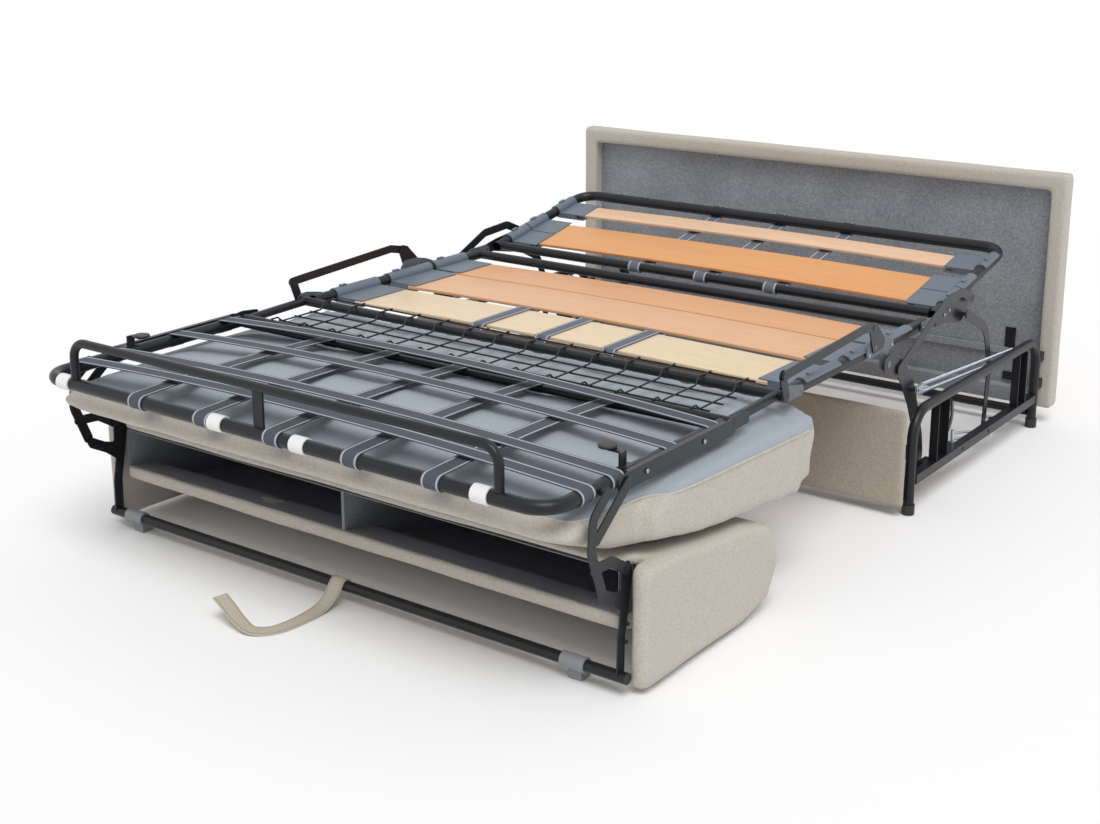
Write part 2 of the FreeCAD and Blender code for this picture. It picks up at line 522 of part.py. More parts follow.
for k in range(14):
    x = -GRID_HALF + 20 + k * (2 * GRID_HALF - 40) / 13
    grid.append(bent_rod([V(x, mesh_y0 - 2, grid_z), V(x, mesh_y0 + 20, grid_z), V(x, mesh_y0 + 34, grid_z - 12),
                          V(x, mesh_y1 - 34, grid_z - 12), V(x, mesh_y1 - 20, grid_z + 5),
                          V(x, mesh_y1 + 32, grid_z + 5)], 6.0, WIRE_R))
for y, z in ((mesh_y0 + 44, grid_z - 12), (mesh_y0 + 100, grid_z - 12), (mesh_y0 + 156, grid_z - 12),
             (mesh_y1 + 28, grid_z + 5)):
    grid.append(rod(V(-GRID_HALF, y, z - 2 * WIRE_R + 0.6), V(GRID_HALF, y, z - 2 * WIRE_R + 0.6), WIRE_R))
net = grid[0]
net = net.fuse(grid[1:])
save("wire_grid", [net])
lever_tip = (MESH_HINGE[0] + LEVER_ARM[0], MESH_HINGE[1] + LEVER_ARM[1])
crank_tip = (CRANK_PIVOT[0] + LEVER_ARM[0], CRANK_PIVOT[1] + LEVER_ARM[1])
lever = flat_bar([MESH_HINGE, lever_tip], 26.0, LAYER[2], PLATE,
                 holes=[(MESH_HINGE, PIN_R + 1), (lever_tip, PIN_R)])
lever_pin = rod(yz(lever_tip, LAYER[2]), yz(lever_tip, LAYER[3] + PLATE + 0.3), PIN_R)
lever_pin = lever_pin.fuse(rod(yz(lever_tip, LAYER[3] + PLATE + 0.1), yz(lever_tip, LAYER[3] + PLATE + 1.0), 8.0))
mesh_pivot = rod(yz(MESH_HINGE, 723.0), yz(MESH_HINGE, LAYER[2] + PLATE + 0.4), PIN_R + 1)
foot_ear = outline_plate([(-1018, 428), (-1018, 450), (-985, 454), (-930, 448), (-930, 424), (-990, 422)],
                         LAYER[1], PLATE, 7.0, [(FOOT_HINGE, PIN_R + 1 + RUNNING_FIT)])
foot_ear = foot_ear.fuse(rod(yz((-950, 436), MESH_X + CROSS_R - 1.2), yz((-950, 436), LAYER[1] + 1), 5.0))
save("mesh_plates", both_sides([lever, foot_ear, mesh_pivot, lever_pin]))

# Control links: long flat bars above the rails, from the mesh lever to a crank on the middle frame
kink = (crank_tip[0] - 46.0, crank_tip[1] + 10.0)
control = flat_bar([lever_tip, (lever_tip[0] + 26, lever_tip[1] + 2), kink, crank_tip], 22.0, LAYER[3], PLATE, 15.0,
                   [(lever_tip, PIN_R + RUNNING_FIT), (crank_tip, PIN_R + 0.8)])
save("control_links", both_sides([control]))
crank = outline_plate([(crank_tip[0] - 16, crank_tip[1] - 4), (crank_tip[0] - 2, crank_tip[1] + 15),
                       (crank_tip[0] + 20, crank_tip[1] + 8), (CRANK_PIVOT[0] + 50, CRANK_PIVOT[1] + 12),
                       (CRANK_PIVOT[0] + 46, CRANK_PIVOT[1] - 8), (CRANK_PIVOT[0] - 10, CRANK_PIVOT[1] - 14)],
                      LAYER[2], PLATE, 8.0, [(CRANK_PIVOT, PIN_R + RUNNING_FIT), (crank_tip, PIN_R)])
crank_pin = rod(yz(crank_tip, LAYER[2]), yz(crank_tip, LAYER[3] + PLATE + 0.3), PIN_R)
crank_pin = crank_pin.fuse(rod(yz(crank_tip, LAYER[3] + PLATE + 0.1), yz(crank_tip, LAYER[3] + PLATE + 1.0), 8.0))
save("crank_plates", both_sides([crank, crank_pin]))

# Foot section: a bent tube frame closed by a rear tube, with channel plates along its rails
FOOT_BEND = 60.0
FOOT_REAR_Y = -1012.0
foot_loop = bent_tube([V(-w, FOOT_REAR_Y, RAIL_Z), V(-w, FOOT_END_Y, RAIL_Z), V(w, FOOT_END_Y, RAIL_Z),
                       V(w, FOOT_REAR_Y, RAIL_Z)], FOOT_BEND, RAIL_R)
foot_rear = tube(V(-w + RAIL_R - 0.8, FOOT_REAR_Y - 12, RAIL_Z), V(w - RAIL_R + 0.8, FOOT_REAR_Y - 12, RAIL_Z),
                 CROSS_R - 3)
save("foot_frame", [foot_loop.fuse(foot_rear)])
CHANNEL_Y = (-1425.0, -985.0)
CHANNEL_Z = (416.0, 452.0)
channel = outline_plate([(CHANNEL_Y[0], CHANNEL_Z[0] + 6), (CHANNEL_Y[0], CHANNEL_Z[1] - 6), (CHANNEL_Y[0] + 30, CHANNEL_Z[1]),
                         (CHANNEL_Y[1] - 24, CHANNEL_Z[1]), (CHANNEL_Y[1], CHANNEL_Z[1] - 8),
                         (CHANNEL_Y[1], CHANNEL_Z[0] + 14), (CHANNEL_Y[1] - 24, CHANNEL_Z[0]), (CHANNEL_Y[0] + 20, CHANNEL_Z[0])],
                        LAYER[2], PLATE, 5.0, [(FOOT_HINGE, PIN_R + 1)])
channel = channel.fuse(box(BED_HALF_WIDTH + 12, LAYER[2] + 0.5, CHANNEL_Y[0] + 34, -1030.0, CHANNEL_Z[1] - 4, CHANNEL_Z[1]))
for y in (-1330.0, -1120.0):
    channel = channel.fuse(rod(V(w + RAIL_R - 0.2, y, RAIL_Z), V(LAYER[2] + PLATE + 1.6, y, RAIL_Z), 6.0))
foot_loop_right = rod(V(w, FOOT_REAR_Y, RAIL_Z), V(w, FOOT_END_Y, RAIL_Z), RAIL_R)
foot_pivot = rod(yz(FOOT_HINGE, LAYER[1] - 0.6), yz(FOOT_HINGE, LAYER[2] + PLATE + 0.6), PIN_R + 1)
save("foot_channels", both_sides([channel.cut(foot_loop_right), foot_pivot]))

# Foot section: mattress retainer, white strap sleeves and the two padded corner hooks
RETAINER_HALF = 598.0
RETAINER_Z = 535.0
RETAINER_R = 10.0
retainer = bent_rod([V(-RETAINER_HALF, FOOT_END_Y, RAIL_Z + RAIL_R - 1), V(-RETAINER_HALF, FOOT_END_Y, RETAINER_Z),
                     V(RETAINER_HALF, FOOT_END_Y, RETAINER_Z), V(RETAINER_HALF, FOOT_END_Y, RAIL_Z + RAIL_R - 1)],
                    38.0, RETAINER_R)
tube_cut = rod(V(-700, FOOT_END_Y, RAIL_Z), V(700, FOOT_END_Y, RAIL_Z), RAIL_R)
middle_post = box(-32.0, -4.0, FOOT_END_Y - 2.5, FOOT_END_Y + 2.5, RAIL_Z + RAIL_R - 2, RETAINER_Z - RETAINER_R + 2)
save("mattress_retainer", [retainer.fuse(middle_post).cut(tube_cut)])
SLEEVES = (-629.0, -138.0, 98.0, 560.0)
SLEEVE_HALF = 19.0
sleeves = []
for x in SLEEVES:
    sleeve = rod(V(x - SLEEVE_HALF, FOOT_END_Y, RAIL_Z), V(x + SLEEVE_HALF, FOOT_END_Y, RAIL_Z), RAIL_R + 3)
    sleeves.append(sleeve.cut(tube_cut))
save("strap_sleeves", sleeves)
HOOK_Y = -1362.0
hook_stem = box(w - 9, w - 5, HOOK_Y - 16, HOOK_Y + 6, RAIL_Z + 12, 478.0)
hook_arm = box(w - 40, w - 5, HOOK_Y - 8, HOOK_Y + 6, 474.0, 478.0)
hook_foot = box(w - 9, w + 9, HOOK_Y - 24, HOOK_Y + 14, RAIL_Z + 12, RAIL_Z + 17)
rail_cut = rod(V(w, HOOK_Y - 40, RAIL_Z), V(w, HOOK_Y + 40, RAIL_Z), RAIL_R)
save("corner_hooks", both_sides([hook_stem.fuse(hook_arm).fuse(hook_foot).cut(rail_cut)]))
pad = rod(V(w - 44, HOOK_Y - 1, 478.0), V(w - 44, HOOK_Y - 1, 485.0), 19.0)
pad = pad.makeFillet(2.5, [e for e in pad.Edges if e.BoundBox.ZLength < 0.1])
save("hook_pads", both_sides([pad]))

# Foot section: the webbing, five straps lengthways and four across, arched over the seat cushion
WEB_W = 42.0
LONG_RISE = 8.0
ACROSS_RISE = 21.0
LONG_X = (-385.0, -180.0, 25.0, 240.0, 445.0)
ACROSS_Y = (-1510.0, -1412.0, -1220.0, -1060.0)
rail_wrap, rear_wrap = RAIL_R + STRAP_GAP, CROSS_R - 3 + STRAP_GAP
half_web = WEB_W / 2
save("webbing_lengthways", [looped(V(x - half_web, FOOT_END_Y, RAIL_Z), V(x - half_web, FOOT_REAR_Y - 12, RAIL_Z),
                                   LONG_RISE, V(1, 0, 0), WEB_W, (rail_wrap, rear_wrap)) for x in LONG_X])
save("webbing_across", [looped(V(-w, y - half_web, RAIL_Z), V(w, y - half_web, RAIL_Z),
                               ACROSS_RISE, V(0, 1, 0), WEB_W, (rail_wrap, rail_wrap)) for y in ACROSS_Y])

# Foot section: end brackets that carry the backrest below the seat, riveted to the rails
BRACKET_X = LAYER[3]
bracket_fixings = [((-1398, 432), LAYER[2] + PLATE), ((-1466, 432), w + RAIL_R - 0.2)]
brace = flat_bar([bracket_fixings[0][0], (-1500, 352)], 24.0, BRACKET_X)
hanger = flat_bar([bracket_fixings[1][0], (-1512, 396), (-1518, 332), (-1484, 246)], 24.0, BRACKET_X, PLATE, 30.0)
reach = flat_bar([(-1508, 296), (-1450, 292), BACKREST_HINGE], 22.0, BRACKET_X, PLATE, 26.0)
bracket = drilled(brace.fuse([hanger, reach]), [(BACKREST_HINGE, PIN_R + 1 + RUNNING_FIT)], BRACKET_X)
for spot, x0 in bracket_fixings:
    bracket = bracket.fuse(rod(yz(spot, x0), yz(spot, BRACKET_X + 0.5), 8.0))
save("end_brackets", both_sides([bracket]))

# Seat cushion: turned over below the webbing when the bed is out, a wedge with a full rear edge
SEAT_HALF = 722.0
SEAT_SIDE = 764.0
SEAT_FRONT = -1570.0
SEAT_SIDE_FRONT = -1352.0
PARTING = [(-1570.0, 345.0), (-1420.0, 292.0), (-1300.0, 266.0), (-1150.0, 244.0), (-1000.0, 226.0), (-860.0, 212.0)]
SEAT_UNDER = 3.0
SEAT_CROWN = [(-745.0, 398.0, 4.0), (-985.0, 404.0, 10.0), (-1060.0, 405.0, 26.0), (-1250.0, 406.0, 42.0),
              (-1440.0, 403.0, 36.0), (-1530.0, 394.0, 12.0)]
SEAT_SECTIONS = ((-722.0, 0.0, 12.0), (-706.0, 0.0, 3.0), (-640.0, 0.25, 0.0), (-430.0, 0.75, 0.0), (0.0, 1.0, 0.0),
                 (430.0, 0.75, 0.0), (640.0, 0.25, 0.0), (706.0, 0.0, 3.0), (722.0, 0.0, 12.0))


def closed_profile(points, x, corner):
    spots = [V(x, p[0], p[1]) for p in points]
    middle = (spots[0] + spots[-1]) / 2
    return rounded_path([middle] + spots + [middle], corner)


def padded(sections, corner):
    return Part.makeLoft([closed_profile(points, x, corner) for x, points in sections], True, True)


def parting_z(y):
    for (y0, z0), (y1, z1) in zip(PARTING, PARTING[1:]):
        if y0 <= y <= y1:
            return z0 + (z1 - z0) * (y - y0) / (y1 - y0)
    return PARTING[0][1]


def seat_outline(front, crown, inset):
    under = [(front + inset, parting_z(front) + SEAT_UNDER + 6 + inset)]
    under += [(y, z + SEAT_UNDER + inset) for y, z in PARTING if y > front + 60]
    rear = [(-738.0 - inset, 206.0 + inset), (-690.0 - inset, 236.0 + inset), (-672.0 - inset, 330.0),
            (-690.0 - inset, 402.0 - inset)]
    top = [(y, z + rise * crown - inset) for y, z, rise in SEAT_CROWN if y > front + 20]
    return under + rear + top + [(front + inset, 372.0 - inset)]


core = padded([(x, seat_outline(SEAT_FRONT, crown, inset)) for x, crown, inset in SEAT_SECTIONS], 12.0)
wing = padded([(x, seat_outline(SEAT_SIDE_FRONT, 0.0, inset))
               for x, inset in ((690.0, 9.0), (742.0, 9.0), (758.0, 14.0), (SEAT_SIDE, 26.0))], 12.0)
save("seat_cushion", [core.fuse(wing).fuse(mirrored(wing))])

# Backrest: a hollow upholstered shell folded under the seat, open at the end towards the foot
CHEEK = (743.0, 782.0)
BACK_HALF = 745.0
BACK_FRONT = -1398.0
RIM_Y = -1394.0
RIM_Z = (125.0, 160.0)
LINING = 1.5
top_line = [(y, z - SEAT_UNDER) for y, z in PARTING if -1300.0 <= y <= -1000.0]
shell_outline = [(RIM_Y, RIM_Z[0]), (RIM_Y, 268.0)] + top_line + \
    [(-905.0, 196.0), (-872.0, 112.0), (-905.0, 34.0), (-1010.0, 16.0), (-1200.0, 44.0), (-1320.0, 100.0)]


def cavity_outline(inset):
    return [(RIM_Y - 26, RIM_Z[1] + inset), (RIM_Y - 26, 250.0 - inset), (-1388.0, 248.0 - inset), (-1300.0, 238.0 - inset),
            (-1150.0, 216.0 - inset), (-1000.0 - inset * 0.5, 198.0 - inset), (-930.0 - inset, 176.0 - inset),
            (-906.0 - inset, 112.0), (-930.0 - inset, 60.0 + inset), (-1010.0, 44.0 + inset), (-1190.0, 74.0 + inset),
            (-1310.0, 138.0 + inset)]


def cheek_outline(inset):
    return [(BACK_FRONT + inset * 0.4, 12.0 + inset), (BACK_FRONT + inset * 0.4, 262.0 - inset * 0.5)] + \
        [(y, z - inset * 0.6) for y, z in top_line] + \
        [(-905.0 - inset, 196.0 - inset), (-866.0 - inset, 110.0), (-905.0 - inset, 28.0 + inset),
         (-1010.0, 10.0 + inset)]


def across_back(outline, half, corner):
    return Part.Face(closed_profile(outline, -half, corner)).extrude(V(2 * half, 0, 0))


def leg_slots(x0, x1, y1):
    slot = box(x0, x1, BACK_FRONT - 50, y1, 20.0, 300.0)
    return [slot, mirrored(slot)]


cavity = across_back(cavity_outline(0.0), BACK_HALF, 8.0)
cheek = padded([(CHEEK[0], cheek_outline(4.0)), (CHEEK[0] + 8, cheek_outline(0.0)), (CHEEK[1] - 14, cheek_outline(0.0)),
                (CHEEK[1] - 4, cheek_outline(6.0)), (CHEEK[1], cheek_outline(16.0))], 16.0)
shell = across_back(shell_outline, BACK_HALF, 10.0).cut(cavity)
shell = shell.fuse([cheek, mirrored(cheek)]).cut(leg_slots(716.0, CHEEK[0], -1345.0))
save("backrest_shell", [shell])

# Backrest: the dark cloth lining of its two compartments and the divider between them
DIVIDER = (-14.0, -6.0)
hollow = across_back(cavity_outline(LINING), BACK_HALF - 30.0 - LINING, 7.0)
lining = cavity.common(box(-BACK_HALF + 30, BACK_HALF - 30, RIM_Y, -900.0, 0.0, 300.0)).cut(hollow)
save("backrest_lining", [max(lining.Solids, key=lambda solid: solid.Volume)])
save("backrest_divider", [hollow.common(box(DIVIDER[0], DIVIDER[1], RIM_Y + 8, -900.0, 0.0, 300.0))])

# Backrest: the legs and foot bar that hold the bed's end off the floor
BAR = (-1412.0, 40.0)
BAR_R = 12.0
BAR_HALF = 748.0
LEG_X = LAYER[2]
bar_line = rod(V(-BAR_HALF, *BAR), V(BAR_HALF, *BAR), BAR_R)
leg = outline_plate([(-1412, 272), (-1386, 272), (-1374, 244), (-1384, 190), (-1398, 120), (-1400, 42), (-1424, 42),
                     (-1422, 120), (-1412, 176), (-1440, 198), (-1484, 222), (-1492, 236), (-1476, 246),
                     (-1440, 226), (-1414, 218)], LEG_X, PLATE, 5.0, [(BACKREST_HINGE, PIN_R + 1)])
leg = leg.cut(bar_line)
for z in (112.0, 148.0):
    leg = leg.fuse(rod(V(LEG_X - 3.0, -1400 - (148 - z) * 0.12, z), V(CHEEK[0] + 0.2, -1400 - (148 - z) * 0.12, z), 4.0))
hinge_rivet = rivet(BACKREST_HINGE, LEG_X, BRACKET_X + PLATE + 0.3, PIN_R + 1, 9.0)
save("backrest_legs", both_sides([leg, hinge_rivet]))
save("foot_bar", [tube(V(-BAR_HALF, *BAR), V(BAR_HALF, *BAR), BAR_R)])
plug = rod(V(BAR_HALF - 14, *BAR), V(BAR_HALF, *BAR), BAR_R - WALL)
save("foot_bar_caps", both_sides([plug.fuse(rod(V(BAR_HALF, *BAR), V(BAR_HALF + 3, *BAR), BAR_R))]))
feet = []
for x in (-668.0, 626.0):
    clamp = rod(V(x - 28, *BAR), V(x + 28, *BAR), BAR_R + 4)
    foot = box(x - 18, x + 14, BAR[0] + 2, BAR[0] + 34, 0.0, BAR[1] - 6)
    foot = foot.makeFillet(3.0, [e for e in foot.Edges if e.BoundBox.ZMax < 0.1])
    feet.append(clamp.fuse(foot).cut(bar_line))
save("bar_feet", feet)

# Pull strap: a flat loop of tape round the foot bar, lying on the floor with its end turned up
PULL_W = 38.0
PULL_T = 3.0
PULL_ROUTE = [(0.0, BAR[0] - 14.5, 44.0, -2.0), (0.0, BAR[0] - 30, 26.0, 0.0), (0.0, -1472.0, 8.0, 0.0),
              (0.0, -1516.0, 2.2, 0.0), (-2.0, -1570.0, 1.7, 6.0), (-14.0, -1610.0, 1.7, 26.0),
              (-44.0, -1636.7, 5.0, 52.0), (-84.0, -1635.0, 18.0, 74.0), (-122.0, -1627.0, 35.0, 84.0),
              (-150.0, -1624.0, 50.0, 86.0)]


def pull_section(index):
    x, y, z, turn = PULL_ROUTE[index]
    before = V(*PULL_ROUTE[max(index - 1, 0)][:3])
    after = V(*PULL_ROUTE[min(index + 1, len(PULL_ROUTE) - 1)][:3])
    along = (after - before).normalize()
    flat = V(math.cos(math.radians(turn)), -math.sin(math.radians(turn)), 0)
    side = (flat - along * flat.dot(along)).normalize() * PULL_W / 2
    up = side.cross(along).normalize() * PULL_T / 2
    corners = [V(x, y, z) + side * a + up * b for a, b in ((-1, -1), (1, -1), (1, 1), (-1, 1))]
    return Part.makePolygon(corners + corners[:1])


pull = Part.makeLoft([pull_section(i) for i in range(len(PULL_ROUTE))], True, True)
loop = rod(V(-PULL_W / 2, *BAR), V(PULL_W / 2, *BAR), BAR_R + 3.2)
save("pull_strap", [pull.fuse(loop).cut(bar_line)])
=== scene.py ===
import bmesh
import bpy
import json
import math
import numpy as np
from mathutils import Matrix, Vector, noise


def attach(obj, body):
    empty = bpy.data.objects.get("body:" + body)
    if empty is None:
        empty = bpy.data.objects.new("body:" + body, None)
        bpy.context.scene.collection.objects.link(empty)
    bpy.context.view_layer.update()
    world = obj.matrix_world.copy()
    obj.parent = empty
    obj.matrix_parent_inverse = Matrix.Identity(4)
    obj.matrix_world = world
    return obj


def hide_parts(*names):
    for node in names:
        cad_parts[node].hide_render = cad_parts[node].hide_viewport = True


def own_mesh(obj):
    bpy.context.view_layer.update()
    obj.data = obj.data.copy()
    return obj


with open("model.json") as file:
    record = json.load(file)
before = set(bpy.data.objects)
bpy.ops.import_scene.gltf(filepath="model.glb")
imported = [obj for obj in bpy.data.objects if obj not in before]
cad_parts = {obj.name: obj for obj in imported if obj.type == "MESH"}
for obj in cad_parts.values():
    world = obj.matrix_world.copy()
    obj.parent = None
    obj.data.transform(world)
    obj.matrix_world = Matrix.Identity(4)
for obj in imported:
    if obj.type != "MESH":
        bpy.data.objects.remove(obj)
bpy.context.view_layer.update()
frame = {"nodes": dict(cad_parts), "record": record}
nodes = frame["nodes"]
record = frame["record"]
body_of_node = {n: body for body, members in record["behaviour"]["bodies"].items() for n in members}
slot_of_node = {s["node"]: s["material_slot"] for s in record["subparts"]}

# Side hoops, rails and posts of the base: welded steel tube and folded channel, powder coated in a
# dark blue-grey. The hoops are bent from one tube each and stand in plastic leg glides.
FRAME_PAINT = (0.010, 0.011, 0.014)


class Ink:
    # One value or colour inside a finish, so that shader maths reads as sums
    def __init__(self, finish, socket):
        self.finish = finish
        self.socket = socket

    def sum(self, operation, *values):
        return self.finish.add("ShaderNodeMath", {"operation": operation}, list(values))

    def __add__(self, other):
        return self.sum("ADD", self, other)

    def __sub__(self, other):
        return self.sum("SUBTRACT", self, other)

    def __rsub__(self, other):
        return self.sum("SUBTRACT", other, self)

    def __mul__(self, other):
        return self.sum("MULTIPLY", self, other)

    def size(self):
        return self.sum("ABSOLUTE", self)

    def within(self):
        return self.finish.add("ShaderNodeClamp", {}, [self])

    def wave(self):
        return self.sum("SINE", self)

    __radd__ = __add__
    __rmul__ = __mul__


class Shading:
    # A node tree to which nodes are added by type, with their settings and what they are fed
    def __init__(self, tree):
        self.tree = tree

    def join(self, socket, value):
        if isinstance(value, Ink):
            self.tree.links.new(value.socket, socket)
        else:
            socket.default_value = value

    def add(self, kind, settings=None, values=None, out=0):
        node = self.tree.nodes.new(kind)
        for key, value in (settings or {}).items():
            setattr(node, key, value)
        pairs = values.items() if isinstance(values, dict) else enumerate(values or [])
        for key, value in pairs:
            self.join(node.inputs[key], value)
        return Ink(self, node.outputs[out])


class Finish(Shading):
    # A surface finish: a principled shader and whatever varies over it
    def __init__(self, name, colour, roughness, metallic=0.0, sheen=0.0, shine=0.5):
        self.material = bpy.data.materials.new(name)
        self.material.use_nodes = True
        super().__init__(self.material.node_tree)
        self.shader = self.tree.nodes["Principled BSDF"]
        self.shader.inputs["Sheen Weight"].default_value = sheen
        self.shader.inputs["Specular IOR Level"].default_value = shine
        self.put("Base Color", (*colour, 1.0))
        self.put("Roughness", roughness)
        self.put("Metallic", metallic)

    def put(self, name, value):
        self.join(self.shader.inputs[name], value)

    def place(self, stretch=(1.0, 1.0, 1.0)):
        spot = self.add("ShaderNodeTexCoord", out="Object")
        return self.add("ShaderNodeMapping", values={"Vector": spot, "Scale": stretch})

    def axis(self, letter, space="Object"):
        spot = self.add("ShaderNodeTexCoord", out=space)
        return self.add("ShaderNodeSeparateXYZ", values=[spot], out=letter)

    def grain(self, scale, detail=3.0, stretch=(1.0, 1.0, 1.0)):
        return self.add("ShaderNodeTexNoise", {},
                        {"Vector": self.place(stretch), "Scale": scale, "Detail": detail}, out="Fac")

    def mix(self, amount, first, second):
        # Colour between first and second, each a colour or an Ink
        wide = [c if isinstance(c, Ink) else (*c, 1.0) for c in (first, second)]
        return self.add("ShaderNodeMix", {"data_type": "RGBA"}, {0: amount, 6: wide[0], 7: wide[1]}, out=2)

    def bump(self, height, distance, strength=1.0):
        self.put("Normal", self.add("ShaderNodeBump", {},
                                    {"Height": height, "Distance": distance, "Strength": strength}))


def painted(name, colour, roughness=0.34):
    # Powder coat: a fine orange peel and a little unevenness in the gloss
    coat = Finish(name, colour, roughness, shine=0.32)
    coat.put("Roughness", coat.grain(60.0) * 0.16 + (roughness - 0.08))
    coat.bump(coat.grain(900.0, 1.0), 0.00012, 0.35)
    return coat


def shown(name, mesh, body, slot, *replaced):
    # Puts a finished mesh into the scene on its body, in place of the nodes it stands for
    piece = bpy.data.objects.new(name, mesh)
    bpy.context.scene.collection.objects.link(piece)
    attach(piece, body)
    if replaced:
        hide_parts(*replaced)
    return piece


def closed_copy(node, sharp=32.0):
    # The piece's surface with its triangles joined, smooth over curves and crisp at edges
    mesh = nodes[node].data.copy()
    work = bmesh.new()
    work.from_mesh(mesh)
    bmesh.ops.remove_doubles(work, verts=work.verts, dist=0.00002)
    work.to_mesh(mesh)
    work.free()
    if "custom_normal" in mesh.attributes:
        mesh.attributes.remove(mesh.attributes["custom_normal"])
    mesh.polygons.foreach_set("use_smooth", [True] * len(mesh.polygons))
    mesh.set_sharp_from_angle(angle=math.radians(sharp))
    mesh.materials.clear()
    return mesh


def dressed(finish, *names):
    # Rigid pieces: their own surface in their finish
    for name in names:
        mesh = closed_copy(name)
        mesh.materials.append(finish.material)
        shown(name + "_finished", mesh, body_of_node[name], slot_of_node[name], name)


frame_paint = painted("Frame powder coat", FRAME_PAINT)
dressed(frame_paint, "side_hoops", "side_rails", "side_posts", "cross_rails", "base_pivots", "panel_brackets")

# Leg glides, tube caps and the pads of the corner hooks: black moulded plastic. The glides and caps are
# pushed over the tube ends, and the pads are pressed onto the hooks.
GLIDE_BLACK = (0.018, 0.018, 0.020)


def moulded(name, colour, roughness=0.5):
    # Plastic from a textured mould
    plastic = Finish(name, colour, roughness)
    plastic.bump(plastic.grain(1400.0, 1.0), 0.00010, 0.5)
    return plastic


black_plastic = moulded("Black moulded plastic", GLIDE_BLACK)
dressed(black_plastic, "leg_glides", "foot_bar_caps", "hook_pads")

# Park latches and their tie rods: pressed steel levers and a toothed catch, painted like the links,
# and a welded pair of thin bars in bright zinc plate that ties the latch to the lower rail.
LINK_PAINT = (0.013, 0.015, 0.019)
ZINC_TONES = ((0.44, 0.49, 0.57), (0.66, 0.70, 0.75))

link_paint = painted("Link paint", LINK_PAINT, 0.32)
zinc = Finish("Zinc plate", ZINC_TONES[0], 0.34, 0.92)
zinc.put("Base Color", zinc.mix(zinc.grain(35.0), *ZINC_TONES))
dressed(link_paint, "park_latches")
dressed(zinc, "latch_tie_rods")

# Front panel: a thin board wrapped in brown-beige furniture cloth, screwed to the front legs. The
# cloth is stapled on behind, where the bare board shows.
PANEL_CLOTH = (0.40, 0.345, 0.285)
PANEL_VOXEL = 0.006
BOARD_TONES = ((0.45, 0.32, 0.18), (0.60, 0.45, 0.28))


def mottled(fabric, colour, scale, depth):
    # The colour with darker and lighter flecks of about one part in scale
    flecks = (fabric.grain(scale, 2.0) * 2.2 - 0.6).within()
    darker, lighter = (tuple(c * (1.0 + change) for c in colour) for change in (-depth, depth))
    return fabric.mix(flecks, darker, lighter)


def cloth(name, colour, weave=700.0, depth=0.0007, mottle=0.10):
    # Woven or looped furniture cloth: a small knobbly relief and a faint mottle
    fabric = Finish(name, colour, 0.92, sheen=0.12)
    fabric.put("Base Color", mottled(fabric, colour, weave * 0.45, mottle))
    knots = fabric.grain(weave, 2.0) * 0.7 + fabric.grain(weave * 0.25, 2.0) * 0.5
    fabric.bump(knots, depth, 0.9)
    return fabric


def settled(piece):
    # The piece's evaluated surface as a plain mesh, with its modifiers gone
    mesh = bpy.data.meshes.new_from_object(piece.evaluated_get(bpy.context.evaluated_depsgraph_get()))
    piece.modifiers.clear()
    piece.data = mesh
    return mesh


def remeshed(node, voxel, smooth=3):
    # A soft piece starts as an even skin over its own solid
    piece = bpy.data.objects.new(node + "_upholstered", closed_copy(node))
    bpy.context.scene.collection.objects.link(piece)
    skin = piece.modifiers.new("skin", "REMESH")
    skin.mode = "VOXEL"
    skin.voxel_size = voxel
    skin.use_smooth_shade = True
    if smooth:
        ease = piece.modifiers.new("ease", "SMOOTH")
        ease.iterations = smooth
    settled(piece)
    return piece


def points_of(mesh, what="co"):
    found = np.empty(len(mesh.vertices) * 3)
    mesh.vertices.foreach_get(what, found)
    return found.reshape(-1, 3)


def move_to(mesh, spots):
    mesh.vertices.foreach_set("co", spots.ravel())
    mesh.update()


def rippled(mesh, depth, scale, seed):
    # Cloth is never quite flat: low waves over the whole surface
    spots, out = points_of(mesh), points_of(mesh, "normal")
    shift = Vector((seed, seed * 0.7, -seed))
    waves = np.array([noise.noise(Vector(p) * scale + shift) for p in spots])
    move_to(mesh, spots + out * (waves * depth)[:, None])


def upholstered(node, finish, voxel, depth=0.0012, scale=6.0):
    # A firm padded piece: an even skin over its solid, with low waves
    piece = remeshed(node, voxel)
    rippled(piece.data, depth, scale, len(node))
    piece.data.materials.append(finish.material)
    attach(piece, body_of_node[node])
    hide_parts(node)


panel_cloth = cloth("Brown-beige panel cloth", PANEL_CLOTH, 620.0, 0.0010, 0.16)
upholstered("front_panel_cover", panel_cloth, PANEL_VOXEL)
board = Finish("Bare board", BOARD_TONES[0], 0.7)
board.put("Base Color", board.mix(board.grain(300.0), *BOARD_TONES))
dressed(board, "front_panel_board", "back_panel_board")

# Back panel: a board in a padded border of cream looped cloth, lined with speckled grey felt on the
# side that faces the bed. The felt is glued on and the cloth is pulled round to the back.
CREAM = (0.50, 0.465, 0.41)
BORDER_VOXEL = 0.008
FELT_GREYS = ((0.140, 0.152, 0.175), (0.38, 0.40, 0.43))

cream_cloth = cloth("Cream looped cloth", CREAM, 460.0, 0.0014, 0.11)
upholstered("back_panel_border", cream_cloth, BORDER_VOXEL)
felt = Finish("Speckled felt", FELT_GREYS[0], 0.95)
speckle = (felt.grain(210.0, 4.0) * 3.6 - 1.3).within()
cloudy = felt.grain(7.0, 3.0) * 0.6 + speckle * 0.45
felt.put("Base Color", felt.mix(cloudy.within(), *FELT_GREYS))
felt.bump(felt.grain(800.0, 2.0), 0.0008, 0.7)
dressed(felt, "back_panel_felt", "back_panel_battens")

# Fold arms and links: flat bars and sickle-shaped plates punched from three millimetre steel, painted
# dark, and joined by shouldered rivets. The plate on the middle rail is painted a lighter grey.
PLATE_GREY = (0.125, 0.14, 0.16)

